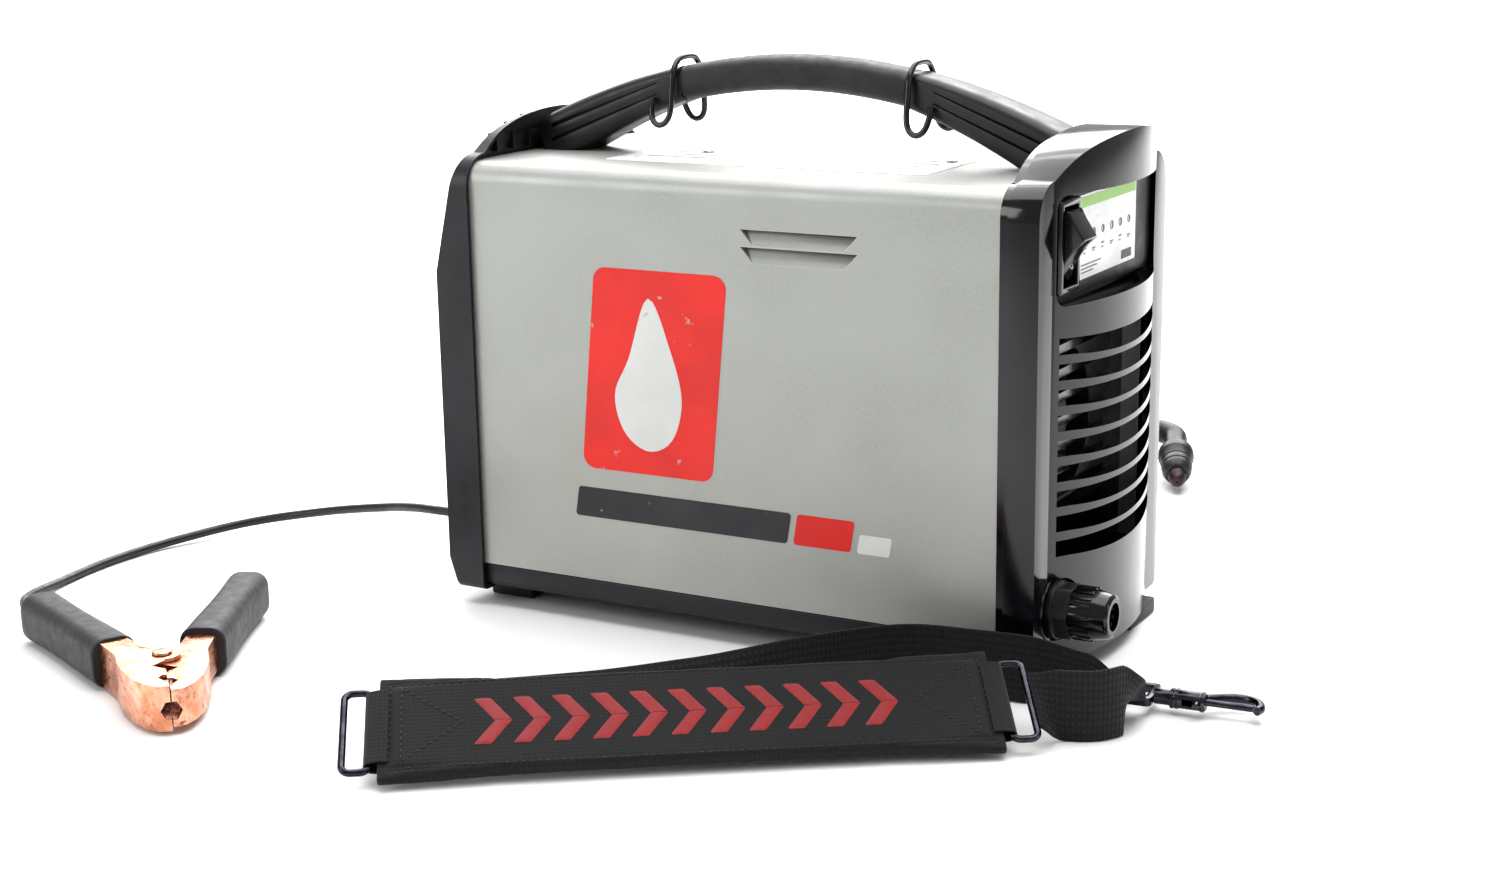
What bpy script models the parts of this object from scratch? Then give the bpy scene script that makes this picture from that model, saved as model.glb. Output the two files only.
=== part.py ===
"""Portable air plasma cutter: the power unit, its work lead and clamp, its torch and its shoulder strap.

Units are metres and +Z is up. X runs along the machine: the power switch, the air intake and the
power cable gland are on the +X end, the current control and both leads are on the -X end. The origin
is on the floor, under the middle of the machine.
"""
import math

import bmesh
import bpy
from mathutils import Matrix, Vector

# ---------------------------------------------------------------- overall sizes
LENGTH = 0.420          # lead end face to the tip of the power cable gland
WIDTH = 0.197           # over the two end caps
COVER_TOP = 0.272       # top face of the sheet-metal cover
HANDLE_RISE = 0.060     # top of the grip over the cover
FOOT_HEIGHT = 0.010     # the end caps stand this high on their feet

# ---------------------------------------------------------------- walls and clearances
GAP = 0.0003            # between pieces that touch
CORD_GAP = 0.0008       # between a cord's end and what it runs into
WALL = 0.0025           # moulded end caps and base pan
SHEET = 0.0012          # cover sheet
PLATE = 0.0015          # inner steel plates
CAP_STEP = 0.0036       # the caps stand proud of the cover by this much
TUCK = 0.006            # the cover and the base pan slide this far into each cap

# ---------------------------------------------------------------- end caps
CROWN_RISE = 0.025      # top of the crown over the cover
SHOULDER_RISE = 0.004   # where the crown would meet the side, over the cover
CAP_CORNER = 0.020
SWITCH_CAP_DEPTH = 0.018
LEAD_CAP_DEPTH = 0.0245
GLAND_LENGTH = 0.034
BULGE = 0.016           # how far the switch panel bows out at its middle
PANEL_HALF = 0.079      # half the width of the bowed switch panel
WINDOW_HALF = 0.0765
WINDOW_HEIGHT = 0.059
WINDOW_BELOW_COVER = 0.004
SLOT_PITCH = 0.0139
SLOT_HEIGHT = 0.0088
SLOT_HALF = 0.0735
SLOT_BELOW_WINDOW = 0.0175
SLOTS_OVER_BOSS = 0.010     # least room between the lowest slot and the gland's boss

# ---------------------------------------------------------------- cover and base
COVER_RADIUS = 0.012
COVER_LIFT = 0.017      # lower edge of the cover over the caps' lower edge
LOUVRE_LENGTH = 0.072
LOUVRE_HEIGHT = 0.0085
LOUVRE_PITCH = 0.0098
LOUVRE_DEPTH = 0.005
LOUVRE_TOP = 0.029      # upper louvre's slit, under the cover's top
LOUVRE_FROM_MIDDLE = 0.047
FOOT_SIZE = (0.030, 0.042)
FOOT_FROM_SIDE = 0.046

# ---------------------------------------------------------------- handle
GRIP_HALF = 0.074       # half the length of the rubber grip
GRIP_HEIGHT = 0.0205
GRIP_WIDTH = 0.029
GRIP_WALL = 0.0035
CORE_WIDTH = 0.027
CORE_FOOT_WIDTH = 0.038
ARCH_FALL = 0.04194     # from the top of the grip to the handle's top edge at each cap
HANGER_WIRE = 0.0018
HANGER_FROM_GRIP = 0.003
HANGER_LEGS = 0.0135

# ---------------------------------------------------------------- switch and gland
SWITCH_BODY = (0.0245, 0.0455)      # through the window's floor
SWITCH_FLANGE = (0.0285, 0.0500)
SWITCH_WELL = (0.0205, 0.0430)      # the rocker's room
SWITCH_PROUD = 0.0052
ROCKER_THROW = math.radians(16)     # off to on; it rests off, with its lower half pressed in
LABEL_SIZE = (0.092, 0.046)
GLAND_THREAD = 0.0098               # radius, as are the gland's other sizes
GLAND_NECK = 0.0108
GLAND_BORE = 0.0066
GLAND_BOSS = 0.0185
GLAND_RISE = 0.032                  # gland axis over the caps' lower edge
GLAND_FROM_SIDE = 0.009             # gland axis in from the bowed panel's edge
GLAND_BODY_LENGTH = 0.0205          # out of the boss

# ---------------------------------------------------------------- control panel
PANEL_BELOW_COVER = 0.111           # centre of the recess under the cover's top
PANEL_SIZE = (0.127, 0.083)
PANEL_PLATE = 0.002
PANEL_DEPTH = 0.0125
KNOB_Y = 0.022
LENS_Y = -0.038
LENS_SIZE = (0.008, 0.060)

# ---------------------------------------------------------------- inside the machine
BOARD_OFF = 0.010                   # the board stands this far off the divider
BOARD = 0.0016
HEATSINK = (0.120, 0.040, 0.090)
HEATSINK_FINS = 9
HEATSINK_BASE = 0.006
FIN = 0.0022
TRANSFORMER = (0.050, 0.044, 0.054)
CORE_WINDOW = (0.026, 0.030)
FAN_RADIUS = 0.043
FAN_HALF = 0.046                    # half the side of the fan's square frame
FAN_DEPTH = 0.024
FAN_BLADES = 7
BLADE_PITCH = math.radians(38)
MOTOR_RADIUS = 0.030
MOTOR_HEIGHT = 0.052                # its axis over the tray's floor
BARREL_HEIGHT = 0.040
BARREL_FINS = 5

# ---------------------------------------------------------------- leads
WORK_LEAD = 0.0029      # radius
TORCH_LEAD = 0.00475    # radius
RELIEF_Y = 0.050
RELIEF_Z = 0.041
RELIEF_LENGTH = 0.034
RELIEF_NECK = 0.0078
COIL_RADIUS = 0.068     # at the middle of the turns
COIL_ACROSS = 3         # turns side by side
COIL_HIGH = 3           # turns on top of each other
COIL_Z = 0.0002         # under side of the lowest turn
COIL_CLEAR = 0.001      # between the coil and the lead that leaves it

# ---------------------------------------------------------------- work clamp
CLAMP_TURN = math.radians(137.3)
CLAMP_Z = 0.0150
JAW_LENGTH = 0.055
LEVER_TURN = math.radians(19.5)
LEVER_START = (0.012, 0.0165)
LEVER_HALF = 0.008
LEVER_END = 0.112
SLEEVE_START = 0.022
SLEEVE_END = 0.1365
SLEEVE_SIZE = (0.0255, 0.0285)
OUTER_CHANNEL = 0.0125  # half the width of the fixed lever's channel
INNER_CHANNEL = 0.0102  # the moving lever's channel runs inside it
CHANNEL_WALL = 0.0018
CLAMP_PIN = 0.0030      # radius
PIN_HEAD = 0.0056
BITES = (("tip", 6, 0.0052, -0.0400), ("root", 4, 0.0070, -0.0190))

# ---------------------------------------------------------------- torch
TORCH_YAW = math.radians(9)
TORCH_PITCH = math.radians(-4.5)
TORCH_ROLL = math.radians(17)
HEAD_BEND = math.radians(-80)
HEAD_LENGTH = 0.034     # corner to the retaining cap
HEAD_RADIUS = 0.0085
RETAINING_CAP = 0.0320
HANDLE_BACK = -0.192
HANDLE_FRONT = -0.030
HANDLE_THICK = 0.0270
TRIGGER_SLOT = (0.040, 0.016, 0.0110)
TRIGGER_PIVOT = (HANDLE_FRONT - 0.0475, -0.0085, 0)
TRIGGER_THICK = 0.0098
NOZZLE = 0.0105

# ---------------------------------------------------------------- shoulder strap
PAD_LENGTH = 0.316
PAD_WIDTH = 0.070
PAD_THICK = 0.008
PAD_TURN = math.radians(34.7)
PAD_TILT = math.radians(28)
RING_WIRE = 0.0019
RING_SIZE = (0.0135, 0.0520)
RING_CORNER = 0.0045
WEBBING_WIDTH = 0.038
WEBBING_THICK = 0.0018

# ---------------------------------------------------------------- snap hook, along its own axis from the eye
HOOK_TURN = math.radians(4)
HOOK_Z = 0.0080
EYE_HALF = (0.0105, 0.0125)
EYE_BAR = 0.0035
EYE_THICK = 0.0046
BARREL_START = 0.0183
BARREL_END = 0.0373
BARREL = 0.0050
CLAW = 0.0022
BOLT = 0.0019
BOLT_TRAVEL = 0.006
BOLT_START = 0.0300
BOLT_END = 0.0624
BOLT_KNOB = 0.0335
KNOB_STEM = 0.0018

# ---------------------------------------------------------------- derived frame
CAP_HALF = WIDTH / 2
COVER_HALF = CAP_HALF - CAP_STEP
LEAD_FACE = -LENGTH / 2
LEAD_SKIRT = LEAD_FACE + LEAD_CAP_DEPTH
SWITCH_SEAT = LENGTH / 2 - GLAND_LENGTH
SWITCH_RIM = SWITCH_SEAT - 0.001
SWITCH_SKIRT = SWITCH_RIM - SWITCH_CAP_DEPTH
MIDDLE = (LEAD_SKIRT + SWITCH_SKIRT) / 2
HANDLE_TOP = COVER_TOP + HANDLE_RISE
ARCH_DROP = ARCH_FALL / (SWITCH_SKIRT - MIDDLE) ** 2
CAP_BOTTOM = FOOT_HEIGHT
BASE_BOTTOM = CAP_BOTTOM + WALL + GAP
BASE_FLOOR = BASE_BOTTOM + WALL
COVER_BOTTOM = CAP_BOTTOM + COVER_LIFT
CROWN_TOP = COVER_TOP + CROWN_RISE
SHOULDER = COVER_TOP + SHOULDER_RISE
WINDOW_TOP = COVER_TOP - WINDOW_BELOW_COVER
WINDOW_BOTTOM = WINDOW_TOP - WINDOW_HEIGHT
WINDOW_FLOOR = SWITCH_RIM - WALL
FIRST_SLOT = WINDOW_BOTTOM - SLOT_BELOW_WINDOW
GLAND_Y = GLAND_FROM_SIDE - PANEL_HALF
GLAND_Z = CAP_BOTTOM + GLAND_RISE
SLOTS_END = GLAND_Z + GLAND_BOSS + SLOTS_OVER_BOSS
SLOT_COUNT = 1 + int((FIRST_SLOT - SLOT_HEIGHT - SLOTS_END) / SLOT_PITCH)
INSIDE_HALF = COVER_HALF - SHEET - GAP
COIL_CENTRE = (LEAD_FACE + 0.075, CAP_HALF + 0.1375)
TORCH_CORNER = (LEAD_FACE + 0.293, CAP_HALF + 0.3065, 0.0310)
PIVOT = (LEAD_FACE - 0.0326, -CAP_HALF - 0.2173)
PAD_CENTRE = (LENGTH / 2 - 0.1566, -CAP_HALF - 0.1551)
HOOK_EYE = (LENGTH / 2 + 0.0200, -CAP_HALF + 0.0105)

TURN = {
    "Z": (0, 0, 0),
    "-Z": (math.pi, 0, 0),
    "X": (0, math.pi / 2, 0),
    "-X": (0, -math.pi / 2, 0),
    "Y": (-math.pi / 2, 0, 0),
    "-Y": (math.pi / 2, 0, 0),
}
FACING_X = (math.pi / 2, 0, math.pi / 2)    # an outline drawn in Y and Z, thick along X
FACING_Y = (math.pi / 2, 0, 0)              # an outline drawn in X and Z, thick along Y
FLAT = (0, 0, 0)                            # an outline drawn in X and Y, thick along Z


# ---------------------------------------------------------------- scene set-up
def clear_scene():
    for old in list(bpy.data.objects):
        bpy.data.objects.remove(old, do_unlink=True)


def new_collection(name):
    group = bpy.data.collections.new(name)
    bpy.context.scene.collection.children.link(group)
    return group


clear_scene()
PARTS = new_collection("plasma_cutter")
CUTTERS = new_collection("cutters")


def linear(value):
    return value / 12.92 if value <= 0.04045 else ((value + 0.055) / 1.055) ** 2.4


def material(name, colour, roughness, metallic=0.0):
    """A plain finish from a hex colour."""
    paint = bpy.data.materials.new(name)
    paint.use_nodes = True
    shader = paint.node_tree.nodes["Principled BSDF"]
    channels = [linear(int(colour[i:i + 2], 16) / 255) for i in (0, 2, 4)]
    shader.inputs["Base Color"].default_value = (*channels, 1.0)
    shader.inputs["Roughness"].default_value = roughness
    shader.inputs["Metallic"].default_value = metallic
    paint.diffuse_color = (*channels, 1.0)
    return paint


SILVER_PAINT = material("silver_powder_coat", "A9ABA6", 0.45, 0.4)
GLOSS_BLACK = material("gloss_black_plastic", "141519", 0.18)
MATTE_BLACK = material("matte_black_plastic", "1E1F22", 0.5)
RUBBER = material("black_rubber", "26262A", 0.75)
BLACK_WIRE = material("black_coated_wire", "17171A", 0.35, 0.3)
COPPER = material("copper_plate", "D9967A", 0.3, 1.0)
STEEL = material("bright_steel", "B8BABC", 0.3, 1.0)
GALVANISED = material("galvanised_sheet", "9EA2A3", 0.45, 0.9)
ALUMINIUM = material("aluminium_casting", "B4B6B8", 0.4, 1.0)
BOARD_GREEN = material("circuit_board", "1F5A38", 0.5)
WINDING = material("enamelled_copper", "9A4E22", 0.4, 0.6)
WHITE_LABEL = material("printed_label", "E4E6E4", 0.5)
LENS = material("indicator_lens", "3C8A3E", 0.2)
FABRIC = material("black_webbing", "161618", 0.9)
GUNMETAL = material("gunmetal_plate", "2E2E32", 0.3, 1.0)
BRASS = material("brass_nozzle", "B0834A", 0.3, 1.0)


# ---------------------------------------------------------------- modelling helpers
def add(obj, paint=None):
    """Put a piece in the model, or a cutting tool with the other tools."""
    if paint is None:
        obj.hide_render = True
        obj.display_type = "WIRE"
        CUTTERS.objects.link(obj)
    else:
        obj.data.materials.clear()
        obj.data.materials.append(paint)
        PARTS.objects.link(obj)
    return obj


def from_bmesh(name, shape, paint, centre, turn):
    mesh = bpy.data.meshes.new(name)
    shape.to_mesh(mesh)
    shape.free()
    obj = bpy.data.objects.new(name, mesh)
    obj.location = centre
    obj.rotation_euler = turn
    return add(obj, paint)


def box(name, size, centre, paint=None, bevel=0.0, segments=2, turn=FLAT):
    shape = bmesh.new()
    bmesh.ops.create_cube(shape, size=1.0)
    bmesh.ops.scale(shape, vec=size, verts=shape.verts)
    obj = from_bmesh(name, shape, paint, centre, turn)
    return round_edges(obj, bevel, segments) if bevel else obj


def cylinder(name, radius, length, centre, axis="Z", paint=None, sides=24, tip=None):
    shape = bmesh.new()
    end = radius if tip is None else tip
    bmesh.ops.create_cone(
        shape, cap_ends=True, segments=sides, radius1=radius, radius2=end, depth=length
    )
    obj = from_bmesh(name, shape, paint, centre, TURN[axis])
    return shade_round(obj)


def shade_round(obj):
    obj.data.shade_smooth()
    obj.data.set_sharp_from_angle(angle=math.radians(35))
    return obj


def round_edges(obj, width, segments=2, angle=35):
    bevel = obj.modifiers.new("rounded", "BEVEL")
    bevel.width = width
    bevel.segments = segments
    bevel.limit_method = "ANGLE"
    bevel.angle_limit = math.radians(angle)
    return obj


def as_mesh(obj, paint):
    """Turn a curve object into a mesh object in the same place, with its caps welded on."""
    bpy.context.scene.collection.objects.link(obj)
    bpy.context.view_layer.update()
    seen = obj.evaluated_get(bpy.context.evaluated_depsgraph_get())
    mesh = bpy.data.meshes.new_from_object(seen)
    shape = bmesh.new()
    shape.from_mesh(mesh)
    bmesh.ops.remove_doubles(shape, verts=shape.verts, dist=0.00001)
    if obj.data.dimensions == "2D":
        bmesh.ops.dissolve_limit(
            shape, angle_limit=0.005, verts=shape.verts, edges=shape.edges
        )
    bmesh.ops.recalc_face_normals(shape, faces=shape.faces)
    shape.to_mesh(mesh)
    shape.free()
    solid = bpy.data.objects.new(obj.name + "_solid", mesh)
    solid.matrix_world = obj.matrix_world.copy()
    name = obj.name
    bpy.data.objects.remove(obj, do_unlink=True)
    solid.name = name
    return add(solid, paint)


def slab(name, outlines, thickness, centre, turn=FLAT, paint=None):
    """A flat outline, with any further outlines as holes, given a thickness about its centre."""
    curve = bpy.data.curves.new(name, "CURVE")
    curve.dimensions = "2D"
    curve.fill_mode = "BOTH"
    curve.extrude = thickness / 2
    for outline in outlines:
        spline = curve.splines.new("POLY")
        spline.points.add(len(outline) - 1)
        for point, (x, y) in zip(spline.points, outline):
            point.co = (x, y, 0, 1)
        spline.use_cyclic_u = True
    obj = bpy.data.objects.new(name, curve)
    obj.location = centre
    obj.rotation_euler = turn
    return as_mesh(obj, paint)


def tube(name, points, radius, paint=None, resolution=2):
    curve = bpy.data.curves.new(name, "CURVE")
    curve.dimensions = "3D"
    curve.bevel_depth = radius
    curve.bevel_resolution = resolution
    curve.use_fill_caps = True
    spline = curve.splines.new("POLY")
    spline.points.add(len(points) - 1)
    for point, place in zip(spline.points, points):
        point.co = (*place, 1)
    obj = bpy.data.objects.new(name, curve)
    return shade_round(as_mesh(obj, paint))


def turned(name, profile, centre, axis="Z", paint=None, steps=24, closed=False):
    """A lathe shape. The profile lists radius and height from the top down its outer side."""
    shape = bmesh.new()
    rim = [shape.verts.new((radius, 0, height)) for radius, height in profile]
    for first, second in zip(rim, rim[1:]):
        shape.edges.new((first, second))
    if closed:
        shape.edges.new((rim[-1], rim[0]))
    obj = from_bmesh(name, shape, paint, centre, TURN[axis])
    screw = obj.modifiers.new("turned", "SCREW")
    screw.axis = "Z"
    screw.angle = math.tau
    screw.steps = steps
    screw.render_steps = steps
    screw.use_merge_vertices = True
    screw.merge_threshold = 0.00001
    screw.use_smooth_shade = False
    return obj


def boolean(target, tool, operation):
    step = target.modifiers.new(operation.lower(), "BOOLEAN")
    step.operation = operation
    step.solver = "EXACT"
    step.object = tool
    return target


def cut(target, *tools):
    for tool in tools:
        boolean(target, tool, "DIFFERENCE")
    return target


def join(target, *tools):
    for tool in tools:
        boolean(target, tool, "UNION")
    return target


def keep_inside(target, tool):
    return boolean(target, tool, "INTERSECT")


def ride(piece, parent):
    """Hang a piece on an empty without moving it from where its numbers put it in the empty's frame."""
    piece.parent = parent
    return piece


def frame_at(name, matrix):
    """An empty that carries pieces modelled in its own frame."""
    empty = bpy.data.objects.new(name, None)
    empty.empty_display_size = 0.02
    empty.matrix_world = matrix
    PARTS.objects.link(empty)
    return empty


def arc(centre, radius, start, end, steps):
    """Points on a circle in degrees, ends included."""
    angles = [math.radians(start + (end - start) * i / steps) for i in range(steps + 1)]
    return [(centre[0] + radius * math.cos(a), centre[1] + radius * math.sin(a)) for a in angles]


def rounded(corners, radii, steps=4):
    """The outline with each corner replaced by an arc of its own radius."""
    points = []
    for i, (corner, radius) in enumerate(zip(corners, radii)):
        here = Vector(corner)
        if radius <= 0:
            points.append(tuple(here))
            continue
        before = (Vector(corners[i - 1]) - here).normalized()
        after = (Vector(corners[(i + 1) % len(corners)]) - here).normalized()
        half = before.angle(after) / 2
        middle = here + (before + after).normalized() * (radius / math.sin(half))
        first = here + before * (radius / math.tan(half)) - middle
        last = here + after * (radius / math.tan(half)) - middle
        sweep = math.atan2(first.x * last.y - first.y * last.x, first.dot(last))
        for k in range(steps + 1):
            angle = sweep * k / steps
            spin = Matrix.Rotation(angle, 2)
            points.append(tuple(middle + spin @ first))
    return points


def rectangle(half_x, half_y, radius=0.0, centre=(0, 0), steps=4):
    x, y = centre
    corners = [
        (x - half_x, y - half_y), (x + half_x, y - half_y), (x + half_x, y + half_y), (x - half_x, y + half_y)
    ]
    return rounded(corners, [radius] * 4, steps)


def smooth_route(points, spacing):
    """Evenly spaced points on a smooth curve through a route's own points."""
    route = [Vector(p) for p in points]
    padded = [route[0] * 2 - route[1]] + route + [route[-1] * 2 - route[-2]]
    dense = [route[0]]
    for p0, p1, p2, p3 in zip(padded, padded[1:], padded[2:], padded[3:]):
        for k in range(1, 21):
            t = k / 20
            dense.append(0.5 * (
                2 * p1 + (p2 - p0) * t + (2 * p0 - 5 * p1 + 4 * p2 - p3) * t ** 2
                + (3 * p1 - p0 - 3 * p2 + p3) * t ** 3
            ))
    lengths = [0.0]
    for first, second in zip(dense, dense[1:]):
        lengths.append(lengths[-1] + (second - first).length)
    count = max(2, round(lengths[-1] / spacing))
    even = []
    place = 0
    for k in range(count + 1):
        goal = lengths[-1] * k / count
        while place < len(lengths) - 2 and lengths[place + 1] < goal:
            place += 1
        share = (goal - lengths[place]) / (lengths[place + 1] - lengths[place])
        even.append(dense[place].lerp(dense[place + 1], share))
    return even


# ---------------------------------------------------------------- end caps
def arch_outline(inset=0.0):
    """The end caps' upright section: flat sides, rounded shoulders and an arched crown."""
    half = CAP_HALF - inset
    rise = CROWN_TOP - SHOULDER
    radius = (CAP_HALF ** 2 + rise ** 2) / (2 * rise) - inset
    middle = CROWN_TOP - inset - radius
    steps = 8
    span = math.asin(half / radius)
    crown = []
    for i in range(steps + 1):
        angle = span - 2 * span * i / steps
        crown.append((radius * math.sin(angle), middle + radius * math.cos(angle)))
    low = CAP_BOTTOM + inset
    corners = [(-half, low), (half, low)] + crown
    shoulder = CAP_CORNER - inset
    foot = 0.005 - inset / 2
    radii = [foot, foot, shoulder] + [0] * (steps - 1) + [shoulder]
    return rounded(corners, radii)


def bow_radius():
    return (PANEL_HALF ** 2 + BULGE ** 2) / (2 * BULGE)


def panel_plan(inset=0.0, back=0.0):
    """The switch cap seen from above: a flat rim with the bowed panel between."""
    radius = bow_radius() - inset
    middle = SWITCH_RIM + BULGE - bow_radius()
    half = PANEL_HALF - inset
    span = math.degrees(math.asin(half / radius))
    wide = CAP_HALF + 0.02
    rim = SWITCH_RIM - inset
    bow = arc((middle, 0), radius, -span, span, 12)
    return [(back, -wide), (rim, -wide), (rim, -half)] + bow[1:-1] + [(rim, half), (rim, wide), (back, wide)]


def cap_shell(name, x0, x1, inset=0.0, paint=None):
    return slab(name, [arch_outline(inset)], x1 - x0, ((x0 + x1) / 2, 0, 0), FACING_X, paint)


def tall_slab(name, plan):
    height = CROWN_TOP + 0.04
    return slab(name, [plan], height, (0, 0, height / 2 - 0.01), FLAT)


def switch_end_cap():
    """One moulding: skirt, flat rim, bowed panel with intake slots, and the switch window."""
    front = SWITCH_RIM + BULGE + 0.01
    cap = cap_shell("switch_end_cap", SWITCH_SKIRT, front, 0.0, GLOSS_BLACK)
    keep_inside(cap, tall_slab("switch_cap_plan", panel_plan(0.0, SWITCH_SKIRT - 0.01)))
    hollow = cap_shell("switch_cap_hollow", SWITCH_SKIRT - 0.005, front, WALL)
    keep_inside(hollow, tall_slab("switch_cap_hollow_plan", panel_plan(WALL, SWITCH_SKIRT - 0.02)))
    cut(cap, hollow)
    window_z = (WINDOW_TOP + WINDOW_BOTTOM) / 2
    depth = BULGE + 0.02
    pocket = slab(
        "window_pocket",
        [rectangle(WINDOW_HALF + WALL - 0.0005, WINDOW_HEIGHT / 2 + WALL, 0.009, (0, window_z))],
        depth, (WINDOW_FLOOR - WALL + depth / 2, 0, 0), FACING_X,
    )
    keep_inside(pocket, tall_slab("window_pocket_plan", panel_plan(0.0005, 0.0)))
    join(cap, pocket)
    window = slab(
        "window_opening", [rectangle(WINDOW_HALF, WINDOW_HEIGHT / 2, 0.0075, (0, window_z))],
        depth, (WINDOW_FLOOR + depth / 2, 0, 0), FACING_X,
    )
    cut(cap, window)
    y, z = switch_place()
    cut(cap, box("switch_hole", (0.02, SWITCH_BODY[0] + 2 * GAP, SWITCH_BODY[1] + 2 * GAP),
                 (WINDOW_FLOOR, y, z)))
    for i in range(SLOT_COUNT):
        z = FIRST_SLOT - SLOT_PITCH * i - SLOT_HEIGHT / 2
        slot = box(
            f"intake_slot_{i + 1}", (0.04, 2 * SLOT_HALF, SLOT_HEIGHT), (SWITCH_RIM + 0.006, 0, z),
            turn=(0, math.radians(-12), 0),
        )
        cut(cap, slot)
    boss = cylinder("gland_boss", GLAND_BOSS, 0.012, (SWITCH_SEAT - 0.006, GLAND_Y, GLAND_Z), "X", sides=32)
    keep_inside(boss, cap_shell("gland_boss_limit", SWITCH_SKIRT, front, 0.0005))
    join(cap, boss)
    flat = (SWITCH_SEAT + 0.015, GLAND_Y, GLAND_Z)
    cut(cap, cylinder("gland_flat", GLAND_BOSS - 0.001, 0.03, flat, "X", sides=32))
    cut(cap, cylinder("gland_hole", GLAND_THREAD + GAP, 0.05, (SWITCH_SEAT, GLAND_Y, GLAND_Z), "X"))


def lead_cap_side():
    """Side profile of the lead end cap: upright face, leaning in above the kink."""
    kink = COVER_TOP - 0.066
    return [
        (LEAD_SKIRT, CAP_BOTTOM - 0.01), (LEAD_FACE + 0.007, CAP_BOTTOM - 0.01),
        (LEAD_FACE + 0.0055, CAP_BOTTOM + 0.002), (LEAD_FACE, CAP_BOTTOM + 0.019),
        (LEAD_FACE, kink), (LEAD_FACE + 0.0185, COVER_TOP + 0.013),
        (LEAD_SKIRT, CROWN_TOP + 0.004),
    ]


def shifted(outline, dx, dz=0.0):
    return [(x + dx, z + dz) for x, z in outline]


def panel_window():
    """Centre height, half width and half height of the control panel's recess."""
    return COVER_TOP - PANEL_BELOW_COVER, PANEL_SIZE[0] / 2, PANEL_SIZE[1] / 2


def lead_end_cap():
    """One moulding: skirt, leaning end wall, recess for the control panel and ribs under the crown."""
    cap = cap_shell("lead_end_cap", LEAD_FACE - 0.005, LEAD_SKIRT, 0.0, MATTE_BLACK)
    keep_inside(cap, slab("lead_cap_side", [lead_cap_side()], WIDTH + 0.02, (0, 0, 0), FACING_Y))
    hollow = cap_shell("lead_cap_hollow", LEAD_FACE - 0.005, LEAD_SKIRT + 0.01, WALL)
    inner = shifted(lead_cap_side(), WALL)
    inner[0] = (LEAD_SKIRT + 0.02, inner[0][1])
    inner[-1] = (LEAD_SKIRT + 0.02, inner[-1][1])
    keep_inside(hollow, slab("lead_cap_hollow_side", [inner], WIDTH + 0.02, (0, 0, 0), FACING_Y))
    cut(cap, hollow)
    z, half_y, half_z = panel_window()
    depth = 0.014
    frame = slab("panel_frame", [rectangle(half_y + WALL, half_z + WALL, 0.006, (0, z))],
                 depth, (LEAD_FACE + depth / 2, 0, 0), FACING_X)
    keep_inside(frame, slab("panel_frame_side", [lead_cap_side()], WIDTH, (0, 0, 0), FACING_Y))
    join(cap, frame)
    cut(cap, slab("panel_opening", [rectangle(half_y, half_z, 0.004, (0, z))],
                  0.05, (LEAD_FACE, 0, 0), FACING_X))
    rib_height = CROWN_TOP - WALL - COVER_TOP - 0.004
    for y in (-0.062, -0.045, -0.028, 0.028, 0.045, 0.062):
        rib = box(f"crown_rib_{round(y * 1000)}", (0.016, 0.0018, rib_height + WALL),
                  (LEAD_SKIRT - 0.0095, y, COVER_TOP + 0.003 + (rib_height + WALL) / 2))
        keep_inside(rib, cap_shell(f"crown_rib_limit_{round(y * 1000)}", LEAD_FACE + 0.016,
                                   LEAD_SKIRT - 0.001, WALL / 2))
        join(cap, rib)
    for y in (-RELIEF_Y, RELIEF_Y):
        cut(cap, cylinder(f"relief_hole_{'work' if y < 0 else 'torch'}", RELIEF_NECK + GAP, 0.02,
                          (LEAD_FACE, y, RELIEF_Z), "X"))


# ---------------------------------------------------------------- cover and base
def cover_outline():
    """Cross-section of the folded cover: an upside-down U of sheet."""
    def path(half, top, radius):
        left = arc((-half + radius, top - radius), radius, 180, 90, 5)
        right = arc((half - radius, top - radius), radius, 90, 0, 5)
        return [(-half, COVER_BOTTOM)] + left + right + [(half, COVER_BOTTOM)]
    outer = path(COVER_HALF, COVER_TOP, COVER_RADIUS)
    inner = path(COVER_HALF - SHEET, COVER_TOP - SHEET, COVER_RADIUS - SHEET)
    return outer + inner[::-1]


def cover():
    """Folded sheet with two pressed louvres in each side."""
    length = SWITCH_SKIRT - LEAD_SKIRT + 2 * TUCK
    sheet = slab("cover", [cover_outline()], length, (MIDDLE, 0, 0), FACING_X, SILVER_PAINT)
    for side in (-1, 1):
        for row in (0, 1):
            top = COVER_TOP - LOUVRE_TOP - row * LOUVRE_PITCH
            bottom = top - LOUVRE_HEIGHT
            face = side * COVER_HALF
            back = side * (COVER_HALF - LOUVRE_DEPTH - SHEET)
            x = MIDDLE + LOUVRE_FROM_MIDDLE
            skin = side * SHEET * 0.5
            scoop = slab(f"louvre_scoop_{side}_{row}",
                         [[(face - skin, bottom - SHEET), (face - skin, top), (back, top)]],
                         LOUVRE_LENGTH + 2 * SHEET, (x, 0, 0), FACING_X)
            inside = slab(f"louvre_inside_{side}_{row}",
                          [[(face + skin * 4, bottom), (face - skin, bottom), (back + side * SHEET, top),
                            (back + side * SHEET, top + SHEET), (face - side * (SHEET + GAP), top + SHEET),
                            (face - side * (SHEET + GAP), top), (face + skin * 4, top)]],
                          LOUVRE_LENGTH, (x, 0, 0), FACING_X)
            join(sheet, scoop)
            cut(sheet, inside)


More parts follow.
